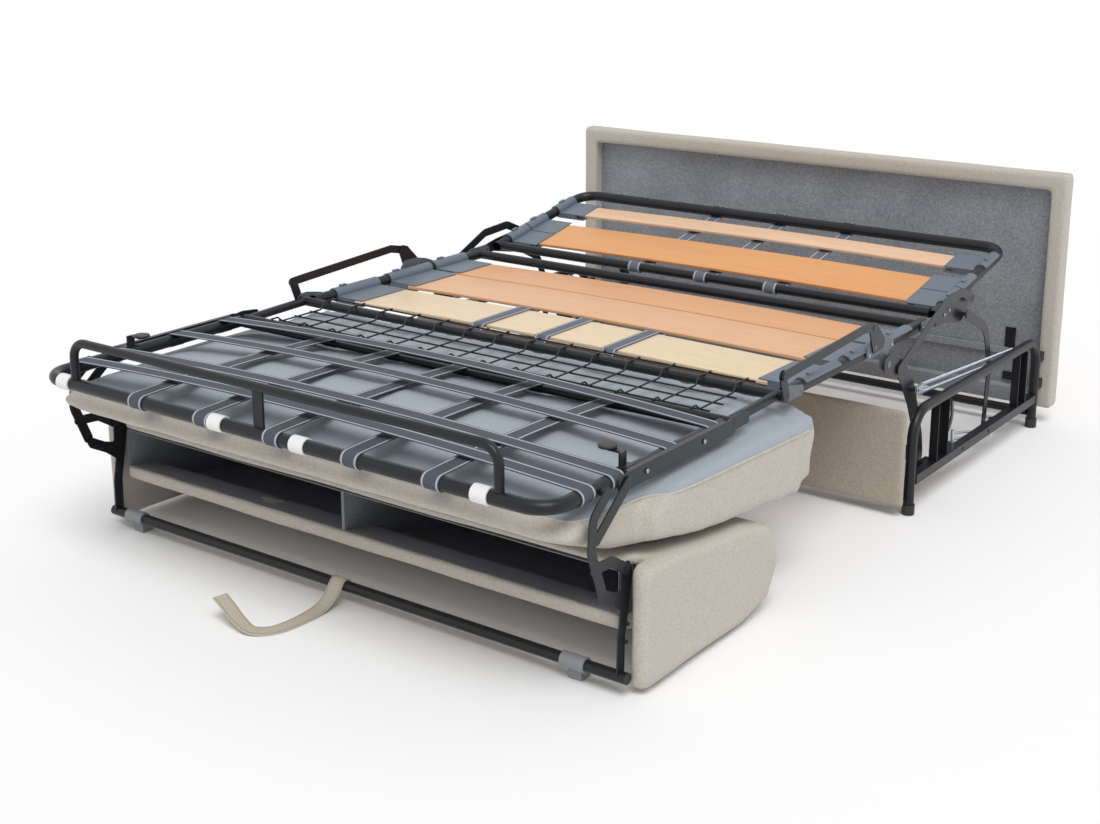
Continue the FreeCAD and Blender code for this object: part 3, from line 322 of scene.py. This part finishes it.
dressed(link_paint, "fold_arm_right", "fold_arm_left", "arm_pins", "head_links", "rear_links",
        "control_links", "crank_plates", "mesh_plates", "head_plates", "foot_channels", "end_brackets",
        "backrest_legs")
grey_paint = painted("Side plate paint", PLATE_GREY, 0.40)
dressed(grey_paint, "mid_plates")

# Rivet heads: low domes of plain steel, set by machine, where the side plates, the foot channels and
# the head plates are fixed to their rails.
RIVET_STEEL = (0.34, 0.36, 0.39)
RIVET_RADIUS = 0.0052
RIVET_HEIGHT = 0.0022
PLATE_FACE = 0.7304
CHANNEL_FACE = 0.7361
HEAD_PLATE_FACE = 0.7349
MID_RIVETS = [(0.103, 0.434), (0.228, 0.434), (0.413, 0.434), (0.439, 0.434)]
FOOT_RIVETS = [(-0.867, 0.435), (-0.657, 0.435)]
HEAD_RIVETS = [(0.533, 0.435), (0.563, 0.435)]
HEAD_HINGE = (0.483, 0.435)
HEAD_SLOPE = math.radians(11.3)


def rivet_heads():
    tree = bpy.data.node_groups.new("Rivet heads", "GeometryNodeTree")
    face = tree.interface
    face.new_socket("Spots", in_out="INPUT", socket_type="NodeSocketGeometry")
    for title in ("Radius", "Height"):
        face.new_socket(title, in_out="INPUT", socket_type="NodeSocketFloat")
    face.new_socket("Steel", in_out="INPUT", socket_type="NodeSocketMaterial")
    face.new_socket("Heads", in_out="OUTPUT", socket_type="NodeSocketGeometry")
    make, link = tree.nodes.new, tree.links.new
    given, result = make("NodeGroupInput"), make("NodeGroupOutput")
    ball, flat = make("GeometryNodeMeshUVSphere"), make("ShaderNodeCombineXYZ")
    place = make("GeometryNodeInstanceOnPoints")
    real, paint = make("GeometryNodeRealizeInstances"), make("GeometryNodeSetMaterial")
    ball.inputs["Segments"].default_value = 14
    ball.inputs["Rings"].default_value = 7
    ball.inputs["Radius"].default_value = 1.0
    link(given.outputs["Height"], flat.inputs["X"])
    link(given.outputs["Radius"], flat.inputs["Y"])
    link(given.outputs["Radius"], flat.inputs["Z"])
    link(given.outputs["Spots"], place.inputs["Points"])
    link(ball.outputs["Mesh"], place.inputs["Instance"])
    link(flat.outputs["Vector"], place.inputs["Scale"])
    link(place.outputs["Instances"], real.inputs["Geometry"])
    link(real.outputs["Geometry"], paint.inputs["Geometry"])
    link(given.outputs["Steel"], paint.inputs["Material"])
    link(paint.outputs["Geometry"], result.inputs["Heads"])
    return tree


rivet_steel = Finish("Rivet steel", RIVET_STEEL, 0.38, 0.8)
rivet_tree = rivet_heads()


def riveted(name, body, spots):
    # Heads on both sides of the bed at the spots given for its right side
    both = [(side * x, y, z) for x, y, z in spots for side in (-1.0, 1.0)]
    mesh = bpy.data.meshes.new(name)
    mesh.from_pydata(both, [], [])
    piece = bpy.data.objects.new(name, mesh)
    bpy.context.scene.collection.objects.link(piece)
    heads = piece.modifiers.new("heads", "NODES")
    heads.node_group = rivet_tree
    keys = {s.name: s.identifier for s in rivet_tree.interface.items_tree if s.in_out == "INPUT"}
    heads[keys["Radius"]] = RIVET_RADIUS
    heads[keys["Height"]] = RIVET_HEIGHT
    heads[keys["Steel"]] = rivet_steel.material
    settled(piece).polygons.foreach_set("use_smooth", [True] * len(piece.data.polygons))
    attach(piece, body)


def on_head(y, z):
    # Where a point of the level head section is once the section is raised
    dy, dz = y - HEAD_HINGE[0], z - HEAD_HINGE[1]
    return (HEAD_HINGE[0] + dy * math.cos(HEAD_SLOPE) - dz * math.sin(HEAD_SLOPE),
            HEAD_HINGE[1] + dy * math.sin(HEAD_SLOPE) + dz * math.cos(HEAD_SLOPE))


riveted("mid_rivets", "mid", [(PLATE_FACE, y, z) for y, z in MID_RIVETS])
riveted("foot_rivets", "foot", [(CHANNEL_FACE, y, z) for y, z in FOOT_RIVETS])
riveted("head_rivets", "head", [(HEAD_PLATE_FACE, *on_head(y, z)) for y, z in HEAD_RIVETS])

# Balance springs: two close-wound steel springs on each side, hooked between a yoke on the fold arm
# and a yoke on the rear post. They shorten as the bed folds away.
SPRING_FRONT = Vector((0.7588, 0.323, 0.300))
SPRING_REAR = Vector((0.7588, 0.983, 0.245))
SPRING_REACH = (0.0290, 0.0150)
SPRING_GAP = 0.0095
COIL_RADIUS = 0.0045
WIRE_RADIUS = 0.0012
COIL_PITCH = 0.0034
COIL_STEPS = 10
WIRE_SIDES = 5

spring_steel = Finish("Spring steel", (0.42, 0.46, 0.52), 0.33, 0.88)
dressed(spring_steel, "spring_yokes_front", "spring_yokes_rear")


def helix(start, end, across):
    # One close-wound spring from start to end as a swept wire
    along = (end - start).normalized()
    side = along.cross(across).normalized()
    turns = (end - start).length / COIL_PITCH
    steps = int(turns * COIL_STEPS)
    spots, faces = [], []
    for i in range(steps + 1):
        angle = 2 * math.pi * i / COIL_STEPS
        out = across * math.cos(angle) + side * math.sin(angle)
        middle = start + along * ((end - start).length * i / steps) + out * COIL_RADIUS
        for k in range(WIRE_SIDES):
            turn = 2 * math.pi * k / WIRE_SIDES
            round_wire = out * math.cos(turn) + along * math.sin(turn)
            spots.append(middle + round_wire * WIRE_RADIUS)
    for i in range(steps):
        for k in range(WIRE_SIDES):
            a, b = i * WIRE_SIDES + k, i * WIRE_SIDES + (k + 1) % WIRE_SIDES
            faces.append((a, b, b + WIRE_SIDES, a + WIRE_SIDES))
    faces.append(tuple(range(WIRE_SIDES))[::-1])
    faces.append(tuple(steps * WIRE_SIDES + k for k in range(WIRE_SIDES)))
    return spots, faces


spring_line = (SPRING_REAR - SPRING_FRONT).normalized()
spring_up = Vector((1.0, 0.0, 0.0)).cross(spring_line)
spots, faces = [], []
for side in (1.0, -1.0):
    for k in (-1.0, 1.0):
        start = SPRING_FRONT + spring_line * SPRING_REACH[0] + spring_up * SPRING_GAP * k
        end = SPRING_REAR - spring_line * SPRING_REACH[1] + spring_up * SPRING_GAP * k
        coil_spots, coil_faces = helix(start, end, spring_up)
        base = len(spots)
        spots += [(p.x * side, p.y, p.z) for p in coil_spots]
        faces += [tuple(base + i for i in (f if side > 0 else f[::-1])) for f in coil_faces]
coils = bpy.data.meshes.new("balance_spring_coils")
coils.from_pydata(spots, [], faces)
coils.polygons.foreach_set("use_smooth", [True] * len(faces))
coils.materials.append(spring_steel.material)
wound = bmesh.new()
wound.from_mesh(coils)
bmesh.ops.recalc_face_normals(wound, faces=wound.faces)
wound.to_mesh(coils)
wound.free()
coil_piece = shown("balance_spring_coils", coils, "springs", "spring_steel", "balance_springs")
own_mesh(coil_piece)

# Bed frames: the middle frame, the raised head section, the mesh section and the foot section, all of
# bent round tube in the same dark coat, with the welded wire grid and the mattress retainer.
dressed(frame_paint, "mid_frame", "head_frame", "mesh_frame", "wire_grid", "foot_frame", "mattress_retainer",
        "corner_hooks")

# Slats: bowed strips of laminated beech, sanded and lacquered. The front one is left pale, and the
# others are stained in orange and peach. The grain runs across the bed.
SLAT_TONES = {"slat_mid_front": ((0.66, 0.49, 0.30), (0.84, 0.68, 0.47)),
              "slat_mid_centre": ((0.64, 0.34, 0.17), (0.80, 0.48, 0.27)),
              "slat_mid_rear": ((0.62, 0.29, 0.12), (0.77, 0.41, 0.20)),
              "slat_head_front": ((0.63, 0.27, 0.085), (0.79, 0.38, 0.14)),
              "slat_head_rear": ((0.68, 0.42, 0.26), (0.84, 0.58, 0.40))}

for slat, (dark, light) in SLAT_TONES.items():
    wood = Finish("Beech of " + slat, dark, 0.38)
    fibres = wood.grain(9.0, 5.0, (0.35, 14.0, 14.0)) * 0.8 + wood.grain(160.0, 2.0, (0.10, 1.0, 1.0)) * 0.35
    wood.put("Base Color", wood.mix((fibres * 1.5 - 0.35).within(), dark, light))
    wood.put("Roughness", fibres * 0.18 + 0.30)
    wood.bump(fibres, 0.0004, 0.4)
    dressed(wood, slat)

# Slat clips: grey-blue moulded plastic shells that snap over the rails and hold the slat ends. The pads
# under the foot bar and the white sleeves on the foot tube are split mouldings, clipped on the same way.
CLIP_BLUE = (0.125, 0.155, 0.195)
PAD_GREY = (0.24, 0.25, 0.27)
SLEEVE_WHITE = (0.80, 0.80, 0.79)

clip_plastic = moulded("Clip plastic", CLIP_BLUE, 0.46)
dressed(clip_plastic, "slat_clips_mid", "slat_clips_head")
grey_plastic = moulded("Foot pad plastic", PAD_GREY)
dressed(grey_plastic, "bar_feet")
white_plastic = moulded("White sleeve", SLEEVE_WHITE)
dressed(white_plastic, "strap_sleeves")

# Webbing and slat straps: slate grey elastic tape with a pale line woven in near each edge. The tapes
# are stretched between the frame tubes, wrapped round them and sewn back on themselves.
SLATE = (0.050, 0.060, 0.078)
TAPE_LINE = (0.62, 0.65, 0.68)
TAPE_THICK = 0.0018
TAPE_STEP = 0.012
LINE_FROM_MIDDLE = 0.40
LINE_SHARPNESS = 15.0
RIBS_PER_METRE = 2200.0
WRAP_STEPS = 8


def tape_finish(name, ground, line):
    tape = Finish(name, ground, 0.8)
    from_line = ((tape.axis("X", "UV") - 0.5).size() - LINE_FROM_MIDDLE).size()
    mark = (1.0 - from_line * LINE_SHARPNESS).within()
    ribs = (tape.axis("Y", "UV") * RIBS_PER_METRE).wave() * 0.5 + 0.5
    shade = tape.mix(tape.grain(400.0, 2.0), ground, tuple(c * 1.35 for c in ground))
    tape.put("Base Color", tape.mix(mark * 0.9, shade, line))
    tape.bump(ribs * 0.5 + tape.grain(900.0, 1.0) * 0.5, 0.0003, 0.6)
    return tape


def tape_mesh(name, path, sides, width, thick, finish):
    # A closed flat tape along path; sides holds the direction across it at each point
    spots, faces = [], []
    for i, middle in enumerate(path):
        ahead = (path[min(i + 1, len(path) - 1)] - path[max(i - 1, 0)]).normalized()
        side = (sides[i] - ahead * sides[i].dot(ahead)).normalized()
        up = side.cross(ahead).normalized()
        spots += [middle + side * (a * width / 2) + up * (b * thick / 2)
                  for a, b in ((-1, -1), (1, -1), (1, 1), (-1, 1))]
    for i in range(len(path) - 1):
        for k in range(4):
            a, b = i * 4 + k, i * 4 + (k + 1) % 4
            faces.append((a, b, b + 4, a + 4))
    last = (len(path) - 1) * 4
    faces += [(3, 2, 1, 0), (last, last + 1, last + 2, last + 3)]
    mesh = bpy.data.meshes.new(name)
    mesh.from_pydata(spots, [], faces)
    layer = mesh.uv_layers.new(name="tape")
    run = [0.0]
    for a, b in zip(path, path[1:]):
        run.append(run[-1] + (b - a).length)
    for polygon in mesh.polygons:
        for loop in polygon.loop_indices:
            spot = mesh.loops[loop].vertex_index
            layer.data[loop].uv = (0.0 if spot % 4 in (0, 3) else 1.0, run[spot // 4])
    work = bmesh.new()
    work.from_mesh(mesh)
    bmesh.ops.recalc_face_normals(work, faces=work.faces)
    work.to_mesh(mesh)
    work.free()
    mesh.polygons.foreach_set("use_smooth", [True] * len(mesh.polygons))
    mesh.set_sharp_from_angle(angle=math.radians(50))
    mesh.materials.append(finish.material)
    return mesh, run[-1]


def wrapped_path(start, end, rise, wraps, over=1.0):
    # From under one tube, round its outer side, across in a low arch and round the other tube
    outward = (start - end).normalized()
    up = Vector((0.0, 0.0, over))
    turns = [math.pi * i / WRAP_STEPS for i in range(WRAP_STEPS + 1)]
    path = [start + (outward * math.sin(turn) - up * math.cos(turn)) * wraps[0] for turn in turns]
    span = (end - start).length
    count = int(span / TAPE_STEP)
    for i in range(1, count):
        t = i / count
        lift = wraps[0] + (wraps[1] - wraps[0]) * t
        path.append(start + (end - start) * t + up * lift + Vector((0, 0, rise * 4 * t * (1 - t))))
    path += [end + (up * math.cos(turn) - outward * math.sin(turn)) * wraps[1] for turn in turns]
    return path


def stretched_tape(name, body, path, across, width, finish, rests, slot, *replaced):
    # One tape laid along its own path
    mesh, length = tape_mesh(name, path, [across] * len(path), width, TAPE_THICK, finish)
    piece = shown(name, mesh, body, slot, *replaced)


WEB_WIDTH = 0.044
TUBE_RADIUS = 0.015
RAIL_HEIGHT = 0.435
FOOT_END = Vector((0.0, -1.147, RAIL_HEIGHT))
FOOT_REAR = Vector((0.0, -0.561, RAIL_HEIGHT))
BED_HALF = 0.710
LONG_WEBS = (-0.385, -0.180, 0.025, 0.240, 0.445)
ACROSS_WEBS = (-1.047, -0.949, -0.757, -0.597)
WRAPS = (TUBE_RADIUS + 0.0013, 0.0103)
ARCH_LENGTHWAYS = 0.008
ARCH_ACROSS = 0.021

webbing = tape_finish("Webbing", SLATE, TAPE_LINE)
for i, x in enumerate(LONG_WEBS):
    path = wrapped_path(FOOT_END + Vector((x, 0, 0)), FOOT_REAR + Vector((x, 0, 0)), ARCH_LENGTHWAYS, WRAPS)
    stretched_tape(f"web_lengthways_{i + 1}", "foot", path, Vector((1, 0, 0)), WEB_WIDTH, webbing,
                   ["foot_frame_finished"], "webbing", *(["webbing_lengthways"] if i == 0 else []))
for i, y in enumerate(ACROSS_WEBS):
    left, right = (Vector((x, y, RAIL_HEIGHT)) for x in (-BED_HALF, BED_HALF))
    path = wrapped_path(left, right, ARCH_ACROSS, (WRAPS[0], WRAPS[0]))
    stretched_tape(f"web_across_{i + 1}", "foot", path, Vector((0, 1, 0)), WEB_WIDTH, webbing,
                   ["foot_frame_finished"], "webbing", *(["webbing_across"] if i == 0 else []))

STRAP_WIDTH = 0.040
STRAP_SLATE = (0.10, 0.115, 0.14)
MID_STRAPS = (-0.195, 0.005, 0.205)
HEAD_STRAPS = (-0.210, 0.010, 0.232)
HEAD_TUBES = (0.531, 0.991)
SLAT_OVER = 0.4386
SLAT_UNDER = 0.4252
HEAD_WRAPS = (0.0146, 0.0166)
HEAD_SAG = -0.001

slat_strap = tape_finish("Slat strap", STRAP_SLATE, TAPE_LINE)
weave = [(-0.227, SLAT_UNDER), (-0.217, SLAT_OVER), (-0.021, SLAT_OVER), (-0.009, SLAT_UNDER),
         (0.201, SLAT_UNDER)]
for i, x in enumerate(MID_STRAPS):
    path = []
    for (y0, z0), (y1, z1) in zip(weave, weave[1:]):
        steps = max(1, int(abs(y1 - y0) / TAPE_STEP))
        path += [Vector((x, y0 + (y1 - y0) * k / steps, z0 + (z1 - z0) * k / steps)) for k in range(steps)]
    path.append(Vector((x, *weave[-1])))
    stretched_tape(f"mid_strap_{i + 1}", "mid", path, Vector((1, 0, 0)), STRAP_WIDTH, slat_strap,
                   ["slat_mid_front_finished", "slat_mid_centre_finished"], "strap_cloth",
                   *(["slat_straps_mid"] if i == 0 else []))
for i, x in enumerate(HEAD_STRAPS):
    low, high = (Vector((x, *on_head(y, RAIL_HEIGHT))) for y in HEAD_TUBES)
    path = wrapped_path(low, high, HEAD_SAG, HEAD_WRAPS, -1.0)
    stretched_tape(f"head_strap_{i + 1}", "head", path, Vector((1, 0, 0)), STRAP_WIDTH, slat_strap,
                   ["head_frame_finished"], "strap_cloth", *(["slat_straps_head"] if i == 0 else []))

# Seat cushion: a thick foam wedge in cream looped cloth, turned over below the webbing while the bed is
# out, so that its blue-grey under cover bulges up between the tapes. A piped seam runs round it.
SEAT_VOXEL = 0.0115
SEAT_PRESSURE = 9.0
SEAT_CAP = 0.026
SEAT_FRAMES = 20
UNDER_COVER = (0.34, 0.385, 0.435)
SEAM_HEIGHT = 0.3895
SEAM_FALL = -0.042
SEAM_START = -1.107
PIPING_RADIUS = 0.0030
GATHERS_START = -0.465
GATHERS_GROW = 0.20
GATHERS_TOP = 0.40
GATHER_DEPTH = 0.0055
GATHER_SPACING = 0.058
FIRMLY_HELD = 1.0
LOOSELY_HELD = 0.6
HOLD_SHARE = 0.52
CROWN_LEVEL = 0.37
LOWER_EDGE = 0.33
SIDE_EDGE = 0.69
FRONT_EDGE = -1.087


def pressed(piece, held, pressure, cap, frames):
    # Foam pushes the cover out except where it is held, and no point moves further than cap
    group = piece.vertex_groups.new(name="held")
    for level in (FIRMLY_HELD, LOOSELY_HELD):
        group.add([int(i) for i in np.nonzero(held == level)[0]], level, "REPLACE")
    before = points_of(piece.data)
    work = piece.modifiers.new("cloth", "CLOTH")
    work.settings.quality = 4
    work.settings.mass = 0.3
    work.settings.tension_stiffness = 12.0
    work.settings.compression_stiffness = 12.0
    work.settings.bending_stiffness = 0.4
    work.settings.use_pressure = True
    work.settings.uniform_pressure_force = pressure
    work.settings.effector_weights.gravity = 0.0
    work.settings.vertex_group_mass = "held"
    work.point_cache.frame_end = frames
    for moment in range(1, frames + 1):
        bpy.context.scene.frame_set(moment)
    after = points_of(piece.evaluated_get(bpy.context.evaluated_depsgraph_get()).data)
    piece.modifiers.clear()
    piece.vertex_groups.clear()
    bpy.context.scene.frame_set(1)
    moved = after - before
    length = np.maximum(np.linalg.norm(moved, axis=1), 1e-9)
    move_to(piece.data, before + moved * np.minimum(1.0, cap / length)[:, None])


def folded(mesh, where, depth, spacing, seed):
    # Upright gathers in the cloth: ridges that run up and down, strongest where the cover is pulled in
    spots, out = points_of(mesh), points_of(mesh, "normal")
    amount = where(spots)
    run = spots[:, 0] + spots[:, 1] * 0.9
    sway = np.array([noise.noise(Vector((p[0] * 5, p[1] * 5, p[2] * 9 + seed))) for p in spots])
    ridge = np.sin(2 * math.pi * run / spacing + sway * 4.0) * (0.6 + 0.4 * sway)
    move_to(mesh, spots + out * (amount * ridge * depth)[:, None])


def gathered(p):
    # How strongly the cover is gathered: from nothing to full towards the rear, below the seam only
    return np.clip((p[:, 1] - GATHERS_START) / GATHERS_GROW, 0, 1) * (p[:, 2] < GATHERS_TOP)


seat = remeshed("seat_cushion", SEAT_VOXEL)
skin = points_of(seat.data)
facing = points_of(seat.data, "normal")
on_top = (facing[:, 2] > 0.5) & (skin[:, 2] > CROWN_LEVEL)
under_web = np.zeros(len(skin), bool)
for x in LONG_WEBS:
    under_web |= np.abs(skin[:, 0] - x) < WEB_WIDTH * HOLD_SHARE
for y in ACROSS_WEBS:
    under_web |= np.abs(skin[:, 1] - y) < WEB_WIDTH * HOLD_SHARE
at_edges = (skin[:, 1] < FRONT_EDGE) | (np.abs(skin[:, 0]) > SIDE_EDGE) | (skin[:, 2] < LOWER_EDGE)
held = np.where(on_top & under_web, FIRMLY_HELD, np.where(at_edges, LOOSELY_HELD, 0.0))
pressed(seat, held, SEAT_PRESSURE, SEAT_CAP, SEAT_FRAMES)
folded(seat.data, gathered, GATHER_DEPTH, GATHER_SPACING, 3.0)
rippled(seat.data, 0.0022, 9.0, 4.0)
seat_cloth = cloth("Cushion cloth and under cover", CREAM, 460.0, 0.0014, 0.11)
over_seam = seat_cloth.axis("Z") - (seat_cloth.axis("Y") - SEAM_START) * SEAM_FALL - SEAM_HEIGHT
cover_tone = seat_cloth.mix(seat_cloth.grain(240.0), tuple(c * 0.9 for c in UNDER_COVER),
                            tuple(c * 1.1 for c in UNDER_COVER))
cream_tone = mottled(seat_cloth, CREAM, 205.0, 0.11)
seat_cloth.put("Base Color", seat_cloth.mix((over_seam * 900.0 + 0.5).within(), cream_tone, cover_tone))
seat.data.materials.append(seat_cloth.material)
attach(seat, "foot")
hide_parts("seat_cushion")


def seam_line(mesh, spot, normal):
    # The closed line in which a sloping plane cuts the cushion, its points in order
    work = bmesh.new()
    work.from_mesh(mesh)
    cut = bmesh.ops.bisect_plane(work, geom=work.verts[:] + work.edges[:] + work.faces[:],
                                 plane_co=spot, plane_no=normal)["geom_cut"]
    edges = [e for e in cut if isinstance(e, bmesh.types.BMEdge)]
    near = {}
    for e in edges:
        for v, w in (e.verts, reversed(e.verts)):
            near.setdefault(v, []).append(w)
    best = []
    seen = set()
    for first in near:
        if first in seen:
            continue
        chain, at = [first], first
        seen.add(first)
        while True:
            onward = [w for w in near[at] if w not in seen]
            if not onward:
                break
            at = onward[0]
            seen.add(at)
            chain.append(at)
        if len(chain) > len(best):
            best = chain
    line = [v.co.copy() for v in best]
    work.free()
    return line


def piping(name, line, body, finish, slot, every=3):
    # A thin cord sewn into the seam, in the same cloth
    curve = bpy.data.curves.new(name, "CURVE")
    curve.dimensions = "3D"
    curve.bevel_depth = PIPING_RADIUS
    curve.bevel_resolution = 2
    points = line[::every]
    spline = curve.splines.new("NURBS")
    spline.points.add(len(points) - 1)
    for point, place in zip(spline.points, points):
        point.co = (*place, 1.0)
    spline.use_cyclic_u = True
    spline.order_u = 4
    spline.resolution_u = 2
    rope = bpy.data.objects.new(name + "_line", curve)
    bpy.context.scene.collection.objects.link(rope)
    mesh = bpy.data.meshes.new_from_object(rope.evaluated_get(bpy.context.evaluated_depsgraph_get()))
    bpy.data.objects.remove(rope)
    mesh.materials.clear()
    mesh.materials.append(finish.material)
    return shown(name, mesh, body, slot)


seam = seam_line(seat.data, (0.0, SEAM_START, SEAM_HEIGHT), Vector((0.0, -SEAM_FALL, 1.0)).normalized())
piping("seat_piping", seam, "foot", cream_cloth, "cream_fabric")

# Backrest: a hollow shell of foam over board in the same cream cloth, with thick rounded cheeks. It
# hangs below the seat while the bed is out, and its two compartments have a loose dark lining.
BACKREST_VOXEL = 0.0085
LINING_STEP = 0.034
LINING_LOOSE = 0.006
LINING_GREY = (0.20, 0.21, 0.235)

upholstered("backrest_shell", cream_cloth, BACKREST_VOXEL, depth=0.0030, scale=5.0)
lining_cloth = cloth("Dark lining cloth", LINING_GREY, 900.0, 0.0004, 0.2)
dressed(lining_cloth, "backrest_divider")


def crumpled(mesh, longest, loose, scale):
    # Thin cloth hanging loose inside a hollow: creases that only ever stand inward
    work = bmesh.new()
    work.from_mesh(mesh)
    for _ in range(7):
        long_edges = [e for e in work.edges if e.calc_length() > longest]
        if not long_edges:
            break
        bmesh.ops.subdivide_edges(work, edges=long_edges, cuts=1)
        bmesh.ops.triangulate(work, faces=work.faces)
    work.to_mesh(mesh)
    work.free()
    spots = points_of(mesh)
    middle = (spots.max(axis=0) + spots.min(axis=0)) / 2
    inward = (middle - spots) * np.array([0.15, 1.0, 1.0])
    inward /= np.linalg.norm(inward, axis=1)[:, None]
    crease = np.array([1.0 + noise.noise(Vector(p) * scale) + 0.5 * noise.noise(Vector(p) * scale * 2.7)
                       for p in spots])
    move_to(mesh, spots + inward * (np.clip(crease, 0.75, 2.2) * loose)[:, None])


lining_mesh = closed_copy("backrest_lining", 60.0)
crumpled(lining_mesh, LINING_STEP, LINING_LOOSE, 13.0)
lining_mesh.materials.append(lining_cloth.material)
shown("backrest_lining_loose", lining_mesh, "backrest", "lining_cloth", "backrest_lining")

# Foot bar: a round steel tube across the legs of the backrest, in the frame's dark coat. It is capped at
# both ends and carries the foot of the bed on two grey pads.
dressed(frame_paint, "foot_bar")

# Pull strap: a doubled cotton tape looped round the foot bar and sewn back on itself. It lies on the
# floor, turns to the left and curls up at its free end.
PULL_BAR = (-0.949, 0.040)
PULL_WIDTH = 0.038
PULL_THICK = 0.003
PULL_RING = 0.0142
RING_FROM, RING_TO = -60, 165
PULL_ROUTE = [(0.0, -0.9635, 0.044, -2.0), (0.0, -0.979, 0.026, 0.0), (0.0, -1.009, 0.008, 0.0),
              (0.0, -1.053, 0.0024, 0.0), (-0.002, -1.107, 0.0019, 6.0), (-0.014, -1.147, 0.0019, 26.0),
              (-0.044, -1.1737, 0.005, 52.0), (-0.084, -1.172, 0.018, 74.0), (-0.122, -1.164, 0.035, 84.0),
              (-0.150, -1.161, 0.050, 86.0)]
PULL_BEIGE = (0.43, 0.39, 0.32)


def through(route, steps=8):
    # A smooth line through the route's points and their turns
    rows = np.array([route[0]] + route + [route[-1]])
    line = []
    for a, b, c, d in zip(rows, rows[1:], rows[2:], rows[3:]):
        for k in range(steps):
            t = k / steps
            line.append(0.5 * (2 * b + (c - a) * t + (2 * a - 5 * b + 4 * c - d) * t * t
                               + (3 * b - a - 3 * c + d) * t ** 3))
    line.append(rows[-1])
    return line


pull_tape = tape_finish("Pull strap tape", PULL_BEIGE, tuple(c * 0.7 for c in PULL_BEIGE))
rows = through(PULL_ROUTE)
path = [Vector(r[:3]) for r in rows]
sides = [Vector((math.cos(math.radians(r[3])), -math.sin(math.radians(r[3])), 0.0)) for r in rows]
ring = [Vector((0.0, PULL_BAR[0] + PULL_RING * math.cos(a), PULL_BAR[1] + PULL_RING * math.sin(a)))
        for a in np.linspace(math.radians(RING_FROM), math.radians(RING_TO), 14)]
strap_mesh, strap_length = tape_mesh("pull_strap_tape", ring + path, [Vector((1, 0, 0))] * len(ring) + sides,
                                     PULL_WIDTH, PULL_THICK, pull_tape)
strap = shown("pull_strap_tape", strap_mesh, "backrest", "strap_cloth", "pull_strap")

# Studio: a white paper floor that runs out of sight, an even white surround that lights less than it
# shows, and one broad soft sun that gives the pale contact shadows.
FLOOR_HALF = 40.0
FLOOR_DROP = 0.0006
SURROUND_LIGHT = 0.60
SUN_STRENGTH = 1.75
SUN_WIDTH = 35
SUN_TURN = (28, 16, 20)

corners = [(x * FLOOR_HALF, y * FLOOR_HALF, -FLOOR_DROP) for x, y in ((-1, -1), (1, -1), (1, 1), (-1, 1))]
floor_mesh = bpy.data.meshes.new("studio_floor")
floor_mesh.from_pydata(corners, [], [(0, 1, 2, 3)])
floor = bpy.data.objects.new("studio_floor", floor_mesh)
bpy.context.scene.collection.objects.link(floor)
paper = Finish("White paper floor", (0.94, 0.94, 0.945), 0.9, shine=0.0)
floor_mesh.materials.append(paper.material)

world = bpy.data.worlds.new("studio")
bpy.context.scene.world = world
world.use_nodes = True
surround = Shading(world.node_tree)
sky = world.node_tree.nodes["Background"]
seen = surround.add("ShaderNodeLightPath", out="Is Camera Ray")
mirrored = surround.add("ShaderNodeLightPath", out="Is Glossy Ray")
strength = seen.sum("MAXIMUM", seen, mirrored) * (1.0 - SURROUND_LIGHT) + SURROUND_LIGHT
surround.join(sky.inputs["Strength"], strength)
surround.join(sky.inputs["Color"], (1.0, 1.0, 1.0, 1.0))

sun = bpy.data.lights.new("broad_sun", "SUN")
sun.energy = SUN_STRENGTH
sun.angle = math.radians(SUN_WIDTH)
sun_spot = bpy.data.objects.new("broad_sun", sun)
sun_spot.rotation_euler = [math.radians(turn) for turn in SUN_TURN]
bpy.context.scene.collection.objects.link(sun_spot)

# Camera: at a standing viewer's height beyond the right front corner, looking a little down. The
# picture is shifted so that the upright edges stay nearly parallel.
CAMERA_SPOT = (2.3107, -3.3245, 1.5034)
CAMERA_TURN = 36.26
CAMERA_DIP = 14.98
CAMERA_ROLL = 0.08
FOCAL_PIXELS = 1630.1
PICTURE_WIDTH = 1100
SENSOR = 36.0
SHIFT_DOWN = -88.0

lens = bpy.data.cameras.new("viewer")
lens.sensor_width = SENSOR
lens.sensor_fit = "HORIZONTAL"
lens.lens = FOCAL_PIXELS / PICTURE_WIDTH * SENSOR
lens.shift_y = SHIFT_DOWN / PICTURE_WIDTH
lens.clip_end = 200.0
viewer = bpy.data.objects.new("viewer", lens)
viewer.location = CAMERA_SPOT
viewer.rotation_euler = (math.radians(90 - CAMERA_DIP), math.radians(CAMERA_ROLL), math.radians(CAMERA_TURN))
bpy.context.scene.collection.objects.link(viewer)
bpy.context.scene.camera = viewer
bpy.context.scene.view_settings.view_transform = "Standard"
